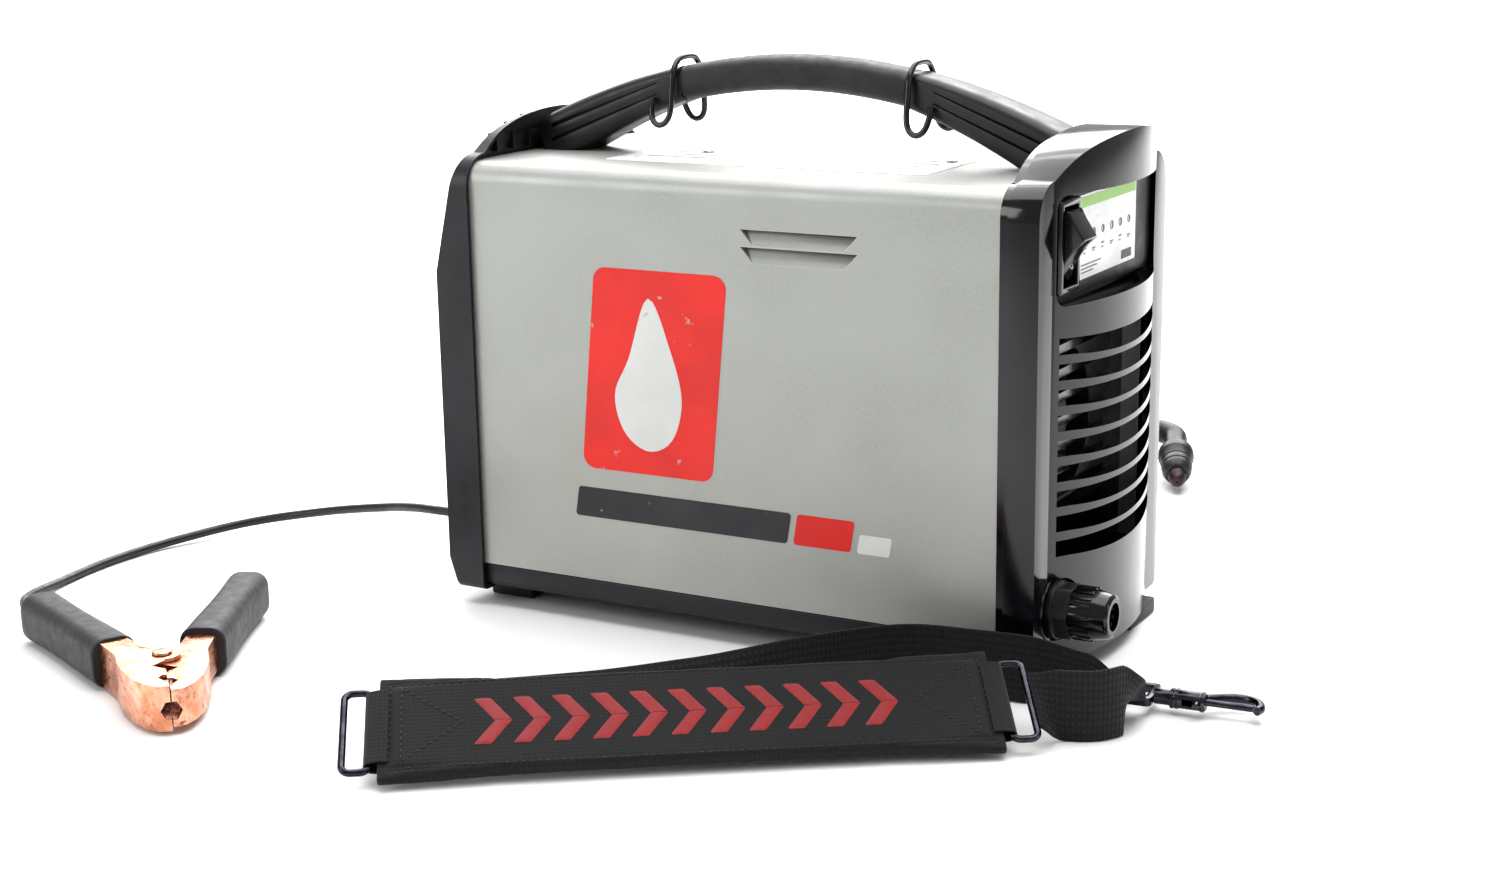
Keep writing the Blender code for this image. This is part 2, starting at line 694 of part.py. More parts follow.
def base_pan():
    """A tray whose walls stand under the cover's edges, with a lip behind them."""
    outer = COVER_HALF
    lip = INSIDE_HALF
    inner = lip - 0.002
    ledge = COVER_BOTTOM - GAP
    rise = COVER_BOTTOM + 0.014
    chamfer = 0.003
    half_section = [
        (outer - chamfer, BASE_BOTTOM), (outer, BASE_BOTTOM + chamfer), (outer, ledge), (lip, ledge),
        (lip, rise), (inner, rise), (inner, BASE_FLOOR),
    ]
    section = half_section + [(-y, z) for y, z in reversed(half_section)]
    length = SWITCH_SKIRT - LEAD_SKIRT + 2 * TUCK
    slab("base_pan", [section], length, (MIDDLE, 0, 0), FACING_X, MATTE_BLACK)


def feet():
    for end, x in (("switch", SWITCH_RIM - 0.006), ("lead", LEAD_SKIRT + 0.003)):
        for side, y in (("near", -(CAP_HALF - FOOT_FROM_SIDE)), ("far", CAP_HALF - FOOT_FROM_SIDE)):
            height = FOOT_HEIGHT - GAP
            box(f"foot_{end}_{side}", (FOOT_SIZE[0], FOOT_SIZE[1], height), (x, y, height / 2),
                RUBBER, bevel=0.0012)


# ---------------------------------------------------------------- handle
def arch_top(x, inset=0.0):
    return HANDLE_TOP - inset - ARCH_DROP * (x - MIDDLE) ** 2


def arch_bottom(x, inset=0.0):
    away = abs(x - MIDDLE)
    thick = GRIP_HEIGHT + 0.12 * max(0.0, away - GRIP_HALF) + 0.0002
    return max(arch_top(x) - thick + inset, COVER_TOP + GAP)


def arched_bar(name, x0, x1, inset, widths, paint=None, bevel=0.0):
    """A length of the handle: its arched side outline, tapered in plan, with rounded edges."""
    steps = max(4, round(abs(x1 - x0) / 0.012))
    xs = [x0 + (x1 - x0) * i / steps for i in range(steps + 1)]
    side = [(x, arch_top(x, inset)) for x in xs] + [(x, arch_bottom(x, inset)) for x in reversed(xs)]
    bar = slab(name, [side], 0.06, (0, 0, 0), FACING_Y, paint)
    plan = [(x0 - 0.001, -widths[0] / 2), (x1 + 0.001, -widths[1] / 2), (x1 + 0.001, widths[1] / 2),
            (x0 - 0.001, widths[0] / 2)]
    keep_inside(bar, slab(name + "_plan", [plan], 0.2, (0, 0, HANDLE_TOP - 0.04), FLAT))
    return round_edges(bar, bevel, 2) if bevel else bar


def handle():
    under = GRIP_WIDTH - 2 * GRIP_WALL - 0.001
    core = arched_bar("handle_core", MIDDLE - GRIP_HALF - 0.01, MIDDLE + GRIP_HALF + 0.01,
                      GRIP_WALL, (under, under), MATTE_BLACK, 0.003)
    start = GRIP_HALF + GAP
    left = arched_bar("handle_left_end", LEAD_SKIRT + 0.001, MIDDLE - start, 0.0,
                      (CORE_FOOT_WIDTH, CORE_WIDTH), None, 0.005)
    right = arched_bar("handle_right_end", MIDDLE + start, SWITCH_SKIRT + TUCK, 0.0,
                       (CORE_WIDTH, CORE_FOOT_WIDTH), None, 0.005)
    join(core, left, right)
    grip = arched_bar("handle_grip", MIDDLE - GRIP_HALF, MIDDLE + GRIP_HALF, 0.0,
                      (GRIP_WIDTH, GRIP_WIDTH), RUBBER, 0.0085)
    hole = arched_bar("grip_hole", MIDDLE - GRIP_HALF - 0.01, MIDDLE + GRIP_HALF + 0.01,
                      GRIP_WALL - GAP, (under + 2 * GAP, under + 2 * GAP))
    cut(grip, hole)


def hangers():
    """Bent wires over the handle that the strap's hooks clip into."""
    hang = COVER_TOP + 0.018
    side = CORE_WIDTH / 2 + HANGER_WIRE
    for name, end in (("hanger_lead_end", -1), ("hanger_switch_end", 1)):
        inner = MIDDLE + end * (GRIP_HALF + HANGER_FROM_GRIP)
        outer = inner + end * HANGER_LEGS
        over = arch_top(inner) + HANGER_WIRE + 0.004
        middle = (inner + outer) / 2
        near = [
            (outer, -side - 0.0012, arch_bottom(outer) + 0.008), (outer, -side - 0.004, hang + 0.009),
            (outer - end * 0.0022, -side - 0.0062, hang + 0.0025), (middle, -side - 0.0068, hang),
            (inner + end * 0.0022, -side - 0.0062, hang + 0.0025), (inner, -side - 0.0048, hang + 0.009),
            (inner, -side - 0.0030, hang + 0.022), (inner, -side - 0.0012, over - 0.0085),
            (inner, -side + 0.0055, over - 0.0015),
        ]
        far = [(x, -y, z) for x, y, z in reversed(near)]
        route = near + [(inner, 0, over)] + far
        tube(name, smooth_route(route, 0.0055), HANGER_WIRE, BLACK_WIRE, 2)


# ---------------------------------------------------------------- switch window
def switch_place():
    return (-WINDOW_HALF + SWITCH_FLANGE[0] / 2 + 0.0015, WINDOW_BOTTOM + WINDOW_HEIGHT / 2 + 0.0015)


def switch_parts():
    y, z = switch_place()
    front = WINDOW_FLOOR + GAP
    back = WINDOW_FLOOR - 0.0165
    housing = box("switch_housing", (SWITCH_PROUD, *SWITCH_FLANGE), (front + SWITCH_PROUD / 2, y, z),
                  MATTE_BLACK, bevel=0.0012)
    body = box("switch_body", (front + 0.002 - back, *SWITCH_BODY), ((front + 0.002 + back) / 2, y, z))
    well = box("switch_well", (0.03, *SWITCH_WELL), (back + WALL + 0.015, y, z))
    cut(join(housing, body), well)
    level = [
        (-0.0065, -0.0185), (0.0012, -0.0200), (0.0030, -0.0130), (0.0052, -0.0062), (0.0090, 0.0010),
        (0.0132, 0.0065), (0.0058, 0.0150), (0.0022, 0.0200), (-0.0065, 0.0185),
    ]
    tip = Matrix.Rotation(-ROCKER_THROW / 2, 2)
    profile = [tuple(tip @ Vector(point)) for point in level]
    pivot = (front + 0.0022, y, z)
    width = SWITCH_WELL[0] - 2 * GAP - 0.0006
    rocker = slab("power_rocker", [profile], width, pivot, FACING_Y, GLOSS_BLACK)
    round_edges(rocker, 0.0006, 1, 25)
    label_y = WINDOW_HALF - 0.026 - LABEL_SIZE[0] / 2
    slab("rating_label", [rectangle(LABEL_SIZE[0] / 2, LABEL_SIZE[1] / 2, 0.001, (0, 0), 2)], 0.0008,
         (WINDOW_FLOOR + GAP + 0.0004, label_y, z + 0.0005), FACING_X, WHITE_LABEL)


# ---------------------------------------------------------------- power cable gland
def gland():
    place = (SWITCH_SEAT, GLAND_Y, GLAND_Z)
    body = turned("gland_body", [
        (0, GLAND_BODY_LENGTH), (GLAND_NECK, GLAND_BODY_LENGTH), (GLAND_NECK, 0.0100), (0.0140, 0.0100),
        (0.0140, 0.0040), (0.0165, 0.0034),
        (0.0165, GAP), (GLAND_THREAD, GAP), (GLAND_THREAD, -0.0150), (0, -0.0150),
    ], place, "X", MATTE_BLACK, 24)
    hexagon = (SWITCH_SEAT + 0.0034 + 0.0044, GLAND_Y, GLAND_Z)
    join(body, cylinder("gland_hexagon", 0.0158, 0.0088, hexagon, "X", sides=6))
    cut(body, cylinder("gland_bore", GLAND_BORE + 0.0012, 0.08, place, "X"))
    nut = turned("gland_nut", [
        (0.0078, GLAND_LENGTH), (0.0106, GLAND_LENGTH), (0.0126, GLAND_LENGTH - 0.0028),
        (0.0139, GLAND_LENGTH - 0.0080), (0.0150, GLAND_LENGTH - 0.0110), (0.0150, 0.0122 + GAP),
        (GLAND_NECK + GAP, 0.0122 + GAP), (GLAND_NECK + GAP, GLAND_LENGTH - 0.0045),
        (0.0078, GLAND_LENGTH - 0.0020),
    ], place, "X", GLOSS_BLACK, 24, closed=True)
    shade_round(nut)
    turned("gland_seal", [
        (GLAND_NECK - GAP, GLAND_LENGTH - 0.0049), (GLAND_NECK - GAP, GLAND_BODY_LENGTH + GAP),
        (GLAND_BORE, GLAND_BODY_LENGTH + GAP),
        (GLAND_BORE, GLAND_LENGTH - 0.0049),
    ], place, "X", RUBBER, 24, closed=True)


# ---------------------------------------------------------------- control panel
def control_panel():
    z, half_y, half_z = panel_window()
    x = LEAD_FACE + PANEL_DEPTH
    panel = slab("control_panel", [rectangle(half_y - GAP, half_z - GAP, 0.0038, (0, z))],
                 PANEL_PLATE, (x, 0, 0), FACING_X, MATTE_BLACK)
    cut(panel, cylinder("knob_hole", 0.0045, 0.01, (x, KNOB_Y, z), "X"))
    knob = turned("current_knob", [
        (0, 0.0120), (0.0128, 0.0120), (0.0142, 0.0106), (0.0158, 0.0030), (0.0165, 0.0010 + GAP),
        (0.0042, 0.0010 + GAP), (0.0042, -0.0060), (0, -0.0060),
    ], (x, KNOB_Y, z), "-X", MATTE_BLACK, 24)
    cut(knob, box("knob_pointer", (0.004, 0.0016, 0.011), (x - 0.0125, KNOB_Y, z + 0.0088)))
    half_width, half_height = LENS_SIZE[0] / 2, LENS_SIZE[1] / 2
    slab("indicator_lens", [rectangle(half_width, half_height, 0.002, (0, 0), 3)], 0.0032,
         (x - 0.0012, LENS_Y, z), FACING_X, LENS)
    opening = rectangle(half_width + GAP, half_height + GAP, 0.002, (LENS_Y, z), 3)
    cut(panel, slab("lens_slot", [opening], 0.01, (x, 0, 0), FACING_X))


# ---------------------------------------------------------------- inside the machine
def divider():
    """Upright plate between the electronics and the compressor, with stand-offs for the board."""
    x0 = LEAD_SKIRT + 0.018
    x1 = bulkhead_x() - PLATE / 2 - GAP
    z0 = BASE_FLOOR + GAP
    z1 = COVER_TOP - 0.018
    plate = box("divider", (x1 - x0, PLATE, z1 - z0), ((x0 + x1) / 2, 0, (z0 + z1) / 2), GALVANISED)
    for x in (x0 + 0.02, x1 - 0.02):
        for z in (z0 + 0.05, z1 - 0.02):
            join(plate, cylinder(f"standoff_{round(x * 1000)}_{round(z * 1000)}", 0.003, BOARD_OFF,
                                 (x, -PLATE / 2 - BOARD_OFF / 2 + 0.0002, z), "Y", sides=8))
    join(plate, box("divider_flange", (x1 - x0, 0.014, PLATE), ((x0 + x1) / 2, 0.0062, z0 + PLATE / 2)))


def electronics():
    """Inverter board with its capacitors, the finned heatsink and the transformer on the tray."""
    x0 = LEAD_SKIRT + 0.022
    x1 = bulkhead_x() - 0.010
    z0 = BASE_FLOOR + 0.040
    z1 = COVER_TOP - 0.022
    y = -PLATE / 2 - BOARD_OFF - GAP - BOARD / 2
    board = box("power_board", (x1 - x0, BOARD, z1 - z0), ((x0 + x1) / 2, y, (z0 + z1) / 2), BOARD_GREEN)
    for i in range(3):
        place = (x0 + 0.022 + 0.03 * i, y - 0.017, z1 - 0.028)
        join(board, cylinder(f"capacitor_{i + 1}", 0.0125, 0.034, place, "Y"))
    join(board, box("driver_block", (0.05, 0.02, 0.035), (x1 - 0.045, y - 0.010, z1 - 0.035)))
    length, depth, height = HEATSINK
    comb = [(0, 0), (length, 0)]
    for i in reversed(range(HEATSINK_FINS)):
        left = (length - FIN) * i / (HEATSINK_FINS - 1)
        right = left + FIN
        if i < HEATSINK_FINS - 1:
            comb.append((right, HEATSINK_BASE))
        comb += [(right, depth), (left, depth)]
        if i:
            comb.append((left, HEATSINK_BASE))
    face = y - BOARD / 2 - GAP
    outline = [(x, -v) for x, v in comb]
    slab("heatsink", [outline], height, (x0 + 0.03, face, z0 + 0.004 + height / 2), FLAT, ALUMINIUM)
    place = (MIDDLE + 0.100, -0.048, BASE_FLOOR + GAP + TRANSFORMER[2] / 2)
    core = box("transformer_core", TRANSFORMER, place, STEEL)
    cut(core, box("core_window", (CORE_WINDOW[0], TRANSFORMER[1] + 0.016, CORE_WINDOW[1]), place))
    wound = (CORE_WINDOW[0] - 0.0008, TRANSFORMER[1] + 0.014, CORE_WINDOW[1] - 0.0008)
    box("transformer_winding", wound, place, WINDING, bevel=0.004)


def bulkhead_x():
    return SWITCH_SKIRT - 0.0315


def fan_height():
    return FIRST_SLOT - 0.062


def fan():
    """Axial fan on a bulkhead behind the intake slots."""
    x = bulkhead_x()
    z0 = BASE_FLOOR + GAP
    z = fan_height()
    z1 = z + 0.062
    half = INSIDE_HALF - 0.004
    hole = arc((0, z), FAN_RADIUS + 0.001, 0, 345, 23)
    slab("fan_bulkhead", [[(-half, z0), (half, z0), (half, z1), (-half, z1)], hole], PLATE, (x, 0, 0),
         FACING_X, GALVANISED)
    start = x + PLATE / 2 + GAP
    frame_x = start + FAN_DEPTH / 2
    frame = slab("fan_frame", [rectangle(FAN_HALF, FAN_HALF, 0.005, (0, z)), hole], FAN_DEPTH,
                 (frame_x, 0, 0), FACING_X, MATTE_BLACK)
    join(frame, cylinder("fan_motor_seat", 0.0165, 0.004, (start + 0.002, 0, z), "X"))
    for i in range(4):
        angle = math.pi / 4 + math.pi / 2 * i
        strut = box(f"fan_strut_{i + 1}", (0.003, 0.005, 0.034),
                    (start + 0.0015, 0.0305 * math.sin(angle), z + 0.0305 * math.cos(angle)),
                    turn=(-angle, 0, 0))
        join(frame, strut)
    hub = cylinder("fan_rotor", 0.0160, 0.016, (start + 0.0132, 0, z), "X", MATTE_BLACK)
    for i in range(FAN_BLADES):
        angle = math.tau * i / FAN_BLADES
        swing = Matrix.Rotation(-angle, 3, "X") @ Matrix.Rotation(BLADE_PITCH, 3, "Z")
        blade = box(f"fan_blade_{i + 1}", (0.0018, 0.020, 0.0275), (0, 0, 0))
        centre = Vector((start + 0.0132, 0.0275 * math.sin(angle), z + 0.0275 * math.cos(angle)))
        blade.matrix_world = Matrix.Translation(centre) @ swing.to_4x4()
        join(hub, blade)


def compressor():
    """Motor, crankcase with its finned cylinder, and the cylinder head, on a bracket on the tray."""
    y = COVER_HALF / 2
    x = MIDDLE - 0.005
    axis = BASE_FLOOR + MOTOR_HEIGHT
    bracket = box("compressor_bracket", (0.120, 0.060, 0.003), (x + 0.028, y, BASE_FLOOR + GAP + 0.0015),
                  GALVANISED)
    for dx in (-0.02, 0.068):
        join(bracket, box(f"bracket_saddle_{round(dx * 1000)}", (0.012, 0.040, 0.020),
                          (x + dx, y, BASE_FLOOR + GAP + 0.011)))
    cut(bracket, cylinder("saddle_bore", MOTOR_RADIUS + GAP, 0.2, (x, y, axis), "X", sides=32))
    turned("compressor_motor", [
        (0, 0.040), (0.012, 0.040), (0.012, 0.036), (MOTOR_RADIUS, 0.034), (MOTOR_RADIUS, -0.0340),
        (MOTOR_RADIUS - 0.004, -0.038), (0, -0.038),
    ], (x, y, axis), "X", STEEL, 28)
    cylinder_x = x + 0.040 + GAP + 0.018
    block = box("compressor_block", (0.036, 0.050, 0.052), (cylinder_x, y, axis), ALUMINIUM, bevel=0.004)
    bore = turned("cylinder_barrel", barrel_profile(), (cylinder_x, y, axis + 0.024), "Z", None, 20)
    join(block, bore)
    head_z = axis + 0.024 + BARREL_HEIGHT + GAP
    box("compressor_head", (0.044, 0.044, 0.014), (cylinder_x, y, head_z + 0.007), ALUMINIUM, bevel=0.002)
    outlet = head_z + 0.014
    route = [
        (cylinder_x, y, outlet + GAP), (cylinder_x, y, outlet + 0.014),
        (cylinder_x - 0.012, y, outlet + 0.028), (cylinder_x - 0.04, y, outlet + 0.032),
        (x - 0.06, y, outlet + 0.024), (x - 0.085, y, outlet + 0.004),
        (x - 0.095, y, axis + 0.02), (x - 0.095, y, BASE_FLOOR + 0.042 + GAP),
    ]
    tube("air_line", smooth_route(route, 0.011), 0.0032, BLACK_WIRE, 2)
    box("air_valve", (0.034, 0.030, 0.042 - GAP), (x - 0.095, y, BASE_FLOOR + GAP + (0.042 - GAP) / 2), BRASS,
        bevel=0.0015)


def barrel_profile():
    """Cooling fins turned on the cylinder barrel."""
    pitch = BARREL_HEIGHT / BARREL_FINS
    points = [(0, BARREL_HEIGHT)]
    for i in range(BARREL_FINS):
        top = BARREL_HEIGHT - pitch * i
        points += [(0.0215, top), (0.0215, top - pitch * 0.35), (0.0160, top - pitch * 0.35),
                   (0.0160, top - pitch)]
    points[-1] = (0.0160, -0.004)
    return points + [(0, -0.004)]


# ---------------------------------------------------------------- work lead and clamp
def relief(name, y, cord):
    """Tapered strain relief: flange inside the wall, collar and ringed tail outside."""
    profile = [
        (0, RELIEF_LENGTH), (cord + 0.0014, RELIEF_LENGTH), (0.0074, 0.0100), (0.0074, 0.0050),
        (0.0102, 0.0040), (0.0102, GAP), (RELIEF_NECK, GAP), (RELIEF_NECK, -WALL - GAP),
        (0.0105, -WALL - GAP), (0.0105, -WALL - 0.0025), (0, -WALL - 0.0025),
    ]
    turned(name, profile, (LEAD_FACE, y, RELIEF_Z), "-X", RUBBER, 20)


def work_route():
    """The lead leaves its relief level, sinks to the floor in one wide bend and runs into the clamp."""
    sleeve = clamp_matrix() @ Vector((*handle_point(SLEEVE_END + CORD_GAP), 0))
    before = clamp_matrix() @ Vector((*handle_point(SLEEVE_END + 0.022), 0))
    low = WORK_LEAD + GAP
    bend = [
        (-0.048, -0.0495, RELIEF_Z - 0.0003), (-0.070, -0.0430, RELIEF_Z - 0.003), (-0.108, -0.0290, 0.0300),
        (-0.162, -0.0220, 0.0190), (-0.214, -0.0400, 0.0095), (-0.242, -0.0840, low + 0.001),
        (-0.249, -0.1350, low), (-0.243, -0.1850, low + 0.0002), (-0.228, -0.2250, 0.0075),
    ]
    route = [(LEAD_FACE - RELIEF_LENGTH - CORD_GAP, -RELIEF_Y, RELIEF_Z)]
    route += [(LEAD_FACE + x, y, z) for x, y, z in bend]
    return route + [tuple(before), tuple(sleeve)]


def clamp_matrix():
    return Matrix.Translation((*PIVOT, CLAMP_Z)) @ Matrix.Rotation(CLAMP_TURN, 4, "Z")


def handle_point(along, across=0.0):
    """A point on a lever's handle in the clamp's frame, from the handle's start."""
    c, s = math.cos(LEVER_TURN), math.sin(LEVER_TURN)
    return (LEVER_START[0] + c * along - s * across, LEVER_START[1] + s * along + c * across)


def lever_outline():
    ear = arc((0, 0), 0.0100, 20, -178, 9)
    return [
        (-JAW_LENGTH, 0.0004), (-JAW_LENGTH + 0.001, 0.0070), (-JAW_LENGTH + 0.008, 0.0130),
        (-0.0360, 0.0185), (-0.0150, 0.0235), (0.0080, 0.0247),
        handle_point(0.018, LEVER_HALF), handle_point(LEVER_END, LEVER_HALF),
        handle_point(LEVER_END, -LEVER_HALF), handle_point(0.004, -LEVER_HALF),
    ] + ear


def lever_hollow():
    wall = CHANNEL_WALL
    return [
        (-JAW_LENGTH + 0.006, -0.03), (-JAW_LENGTH + 0.006, 0.0070), (-JAW_LENGTH + 0.010, 0.0110),
        (-0.0355, 0.0185 - wall), (-0.0150, 0.0235 - wall), (0.0080, 0.0247 - wall),
        handle_point(0.018, LEVER_HALF - wall), handle_point(LEVER_END - wall, LEVER_HALF - wall),
        handle_point(LEVER_END - wall, -0.03), (0.010, -0.03),
    ]


def clamp():
    """Two stamped channel levers on one pin, with a spring between and a rubber sleeve on each."""
    frame = frame_at("clamp_frame", clamp_matrix())
    sides = (
        ("clamp_lever_fixed", "clamp_sleeve_fixed", 1, OUTER_CHANNEL),
        ("clamp_lever_moving", "clamp_sleeve_moving", -1, INNER_CHANNEL),
    )
    for lever_name, sleeve_name, side, half in sides:
        outline = [(x, side * y) for x, y in lever_outline()]
        hollow = [(x, side * y) for x, y in lever_hollow()]
        lever = ride(slab(lever_name, [outline], 2 * half, (0, 0, 0), FLAT, COPPER), frame)
        inside = slab(lever_name + "_hollow", [hollow], 2 * (half - CHANNEL_WALL), (0, 0, 0), FLAT)
        cut(lever, ride(inside, frame))
        for tag, corners, radius, x in BITES:
            bite = cylinder(f"{lever_name}_{tag}_bite", radius, 0.05, (x, 0, 0), sides=corners)
            cut(lever, ride(bite, frame))
        cut(lever, ride(cylinder(lever_name + "_pin_hole", CLAMP_PIN + GAP, 0.05, (0, 0, 0)), frame))
        sleeve = sleeve_solid(sleeve_name, side, frame)
        room_size = (LEVER_END + GAP, 2 * (LEVER_HALF + GAP), 2 * (half + GAP))
        room = box(sleeve_name + "_room", room_size, (0, 0, 0))
        place_on_handle(room, (LEVER_END + GAP) / 2, side, frame)
        cut(sleeve, room)
    seat = OUTER_CHANNEL + GAP
    head = [(0, seat + 0.0018), (PIN_HEAD - 0.0004, seat + 0.0014), (PIN_HEAD, seat), (CLAMP_PIN, seat)]
    profile = head + [(radius, -height) for radius, height in reversed(head)]
    ride(turned("clamp_pin", profile, (0, 0, 0), "Z", STEEL, 16), frame)
    turns = 4
    pitch = 0.0032
    coil = []
    for i in range(turns * 10 + 1):
        angle = math.tau * i / 10
        coil.append((0.0052 * math.cos(angle), 0.0052 * math.sin(angle), pitch * (i / 10 - turns / 2)))
    ride(tube("clamp_spring", coil, 0.0011, STEEL, 1), frame)


def place_on_handle(obj, along, side, frame):
    x, y = handle_point(along)
    obj.location = (x, side * y, 0)
    obj.rotation_euler = (0, 0, side * LEVER_TURN)
    ride(obj, frame)


def sleeve_solid(name, side, frame):
    length = SLEEVE_END - SLEEVE_START
    sleeve = box(name, (length, *SLEEVE_SIZE), (0, 0, 0), RUBBER, bevel=0.0080, segments=3)
    place_on_handle(sleeve, (SLEEVE_END + SLEEVE_START) / 2, side, frame)
    return sleeve


def work_lead():
    tube("work_lead", smooth_route(work_route(), 0.014), WORK_LEAD, RUBBER, 2)


# ---------------------------------------------------------------- torch
def torch_matrix():
    turn = Matrix.Rotation(TORCH_YAW, 4, "Z") @ Matrix.Rotation(TORCH_PITCH, 4, "Y")
    return Matrix.Translation(TORCH_CORNER) @ turn @ Matrix.Rotation(TORCH_ROLL, 4, "X")


def head_point(along, across=0.0):
    """A point on the torch head's axis in the torch's frame, from the corner towards the tip."""
    c, s = math.cos(HEAD_BEND), math.sin(HEAD_BEND)
    return (c * along - s * across, s * along + c * across, 0)


def torch():
    frame = frame_at("torch_frame", torch_matrix())
    side = [
        (HANDLE_BACK, -0.0095), (HANDLE_BACK + 0.060, -0.0130), (HANDLE_FRONT - 0.046, -0.0110),
        (HANDLE_FRONT - 0.004, -0.0125), (HANDLE_FRONT, -0.0100), (HANDLE_FRONT, 0.0100),
        (HANDLE_FRONT - 0.020, 0.0125), (HANDLE_BACK + 0.070, 0.0135), (HANDLE_BACK, 0.0095),
    ]
    grip = ride(slab("torch_handle", [side], HANDLE_THICK, (0, 0, 0), FLAT, MATTE_BLACK), frame)
    round_edges(grip, 0.0050, 2)
    cut(grip, ride(box("trigger_slot", TRIGGER_SLOT, (HANDLE_FRONT - 0.030, -0.0075, 0)), frame))
    blade = [(-0.0015, -0.0012), (0.0085, -0.0055), (0.0300, -0.0070), (0.0345, -0.0045), (0.0330, 0.0035),
             (-0.0015, 0.0035)]
    ride(slab("torch_trigger", [blade], TRIGGER_THICK, TRIGGER_PIVOT, FLAT, GLOSS_BLACK), frame)
    neck = [(HANDLE_FRONT + GAP, 0, 0), (-0.022, 0, 0), (-0.012, -0.001, 0), (-0.003, -0.006, 0),
            head_point(0.0120), head_point(HEAD_LENGTH - 0.012), head_point(HEAD_LENGTH)]
    ride(tube("torch_head", smooth_route(neck, 0.006), HEAD_RADIUS, MATTE_BLACK, 3), frame)
    cap_start = HEAD_LENGTH + GAP
    pieces = (
        ("torch_retaining_cap", [
            (0, RETAINING_CAP), (0.0082, RETAINING_CAP), (0.0105, RETAINING_CAP - 0.005), (0.0118, 0.0100),
            (0.0128, 0.0080), (0.0128, 0.0020), (0.0118, 0), (0, 0),
        ], cap_start, MATTE_BLACK),
        ("torch_nozzle", [
            (0, NOZZLE), (0.0030, NOZZLE), (0.0058, NOZZLE - 0.0035), (0.0066, 0), (0, 0),
        ], cap_start + RETAINING_CAP + GAP, BRASS),
    )
    for name, profile, along, paint in pieces:
        piece = ride(turned(name, profile, (0, 0, 0), "Z", paint, 16), frame)
        piece.matrix_basis = Matrix.Translation(head_point(along)) @ axis_turn()


def axis_turn():
    """Turns a lathe shape's +Z on to the head's axis."""
    return Vector((0, 0, 1)).rotation_difference(Vector(head_point(1.0))).to_matrix().to_4x4()


def coil_half():
    """Half the width and the full height of the coil's section."""
    return COIL_ACROSS * TORCH_LEAD, COIL_HIGH * 2 * TORCH_LEAD


def torch_coil():
    half, height = coil_half()
    outer = COIL_RADIUS + half
    inner = COIL_RADIUS - half
    turned("torch_lead_coil", [
        (outer - 0.002, height), (outer, height - 0.002), (outer, 0.002), (outer - 0.002, 0.0),
        (inner + 0.002, 0.0), (inner, 0.002), (inner, height - 0.002), (inner + 0.002, height),
    ], (*COIL_CENTRE, COIL_Z), "Z", RUBBER, 40, closed=True)


def beside_coil():
    """The X of the lead straight past the coil, and how far past the centre it is clear of the turns."""
    out = COIL_RADIUS + TORCH_LEAD * (COIL_ACROSS - 1) + 0.0005
    clear = COIL_RADIUS + TORCH_LEAD * COIL_ACROSS + TORCH_LEAD + COIL_CLEAR
    return COIL_CENTRE[0] - out, math.sqrt(clear ** 2 - out ** 2)


def torch_route_in():
    """From the relief down to the floor behind the machine and up to the coil's side."""
    side, past = beside_coil()
    low = COIL_Z + TORCH_LEAD + GAP
    bend = [
        (-0.050, 0.0504, RELIEF_Z - 0.0006), (-0.068, 0.0560, RELIEF_Z - 0.006), (-0.084, 0.0720, 0.0230),
        (-0.086, 0.0980, 0.0110), (-0.066, 0.1300, low + 0.0006), (-0.034, 0.1560, low),
    ]
    route = [(LEAD_FACE - RELIEF_LENGTH - CORD_GAP, RELIEF_Y, RELIEF_Z)]
    route += [(LEAD_FACE + x, y, z) for x, y, z in bend]
    end = COIL_CENTRE[1] - past
    return route + [(side - 0.0035, end - 0.014, low), (side, end, low)]


def torch_route_out():
    """From the top of the coil round to the back of the torch handle."""
    side, past = beside_coil()
    end = torch_matrix() @ Vector((HANDLE_BACK - CORD_GAP, 0, 0))
    before = torch_matrix() @ Vector((HANDLE_BACK - 0.030, 0, 0))
    high = COIL_Z + (2 * COIL_HIGH - 1) * TORCH_LEAD
    start = COIL_CENTRE[1] + past
    return [
        (side, start, high), (side + 0.0015, start + 0.018, high - 0.001),
        (side + 0.0125, start + 0.047, high - 0.003), (side + 0.0365, start + 0.071, high - 0.006),
        tuple(before), tuple(end),
    ]


def torch_leads():
    tube("torch_lead", smooth_route(torch_route_in(), 0.018), TORCH_LEAD, RUBBER, 2)
    tube("torch_lead_end", smooth_route(torch_route_out(), 0.018), TORCH_LEAD, RUBBER, 2)


# ---------------------------------------------------------------- shoulder strap
def pad_matrix():
    lift = PAD_WIDTH / 2 * math.sin(PAD_TILT) + PAD_THICK / 2 * math.cos(PAD_TILT) + 0.0005
    tilt = Matrix.Rotation(PAD_TURN, 4, "Z") @ Matrix.Rotation(PAD_TILT, 4, "X")
    return Matrix.Translation((*PAD_CENTRE, lift)) @ tilt


def strap():
    frame = frame_at("pad_frame", pad_matrix())
    pad = slab("strap_pad", [rectangle(PAD_LENGTH / 2, PAD_WIDTH / 2, 0.004, (0, 0), 3)], PAD_THICK,
               (0, 0, 0), FLAT, FABRIC)
    round_edges(ride(pad, frame), 0.002, 2)
    out, across = RING_SIZE
    for name, end in (("strap_ring_lead_side", -1), ("strap_ring_switch_side", 1)):
        x = end * (PAD_LENGTH / 2 + GAP + RING_WIRE + out / 2)
        ring = rectangle(out / 2, across / 2, RING_CORNER, (x, 0), 3)
        ride(tube_loop(name, [(px, py, 0) for px, py in ring], RING_WIRE, GUNMETAL), frame)
    webbing()
    snap_hook()


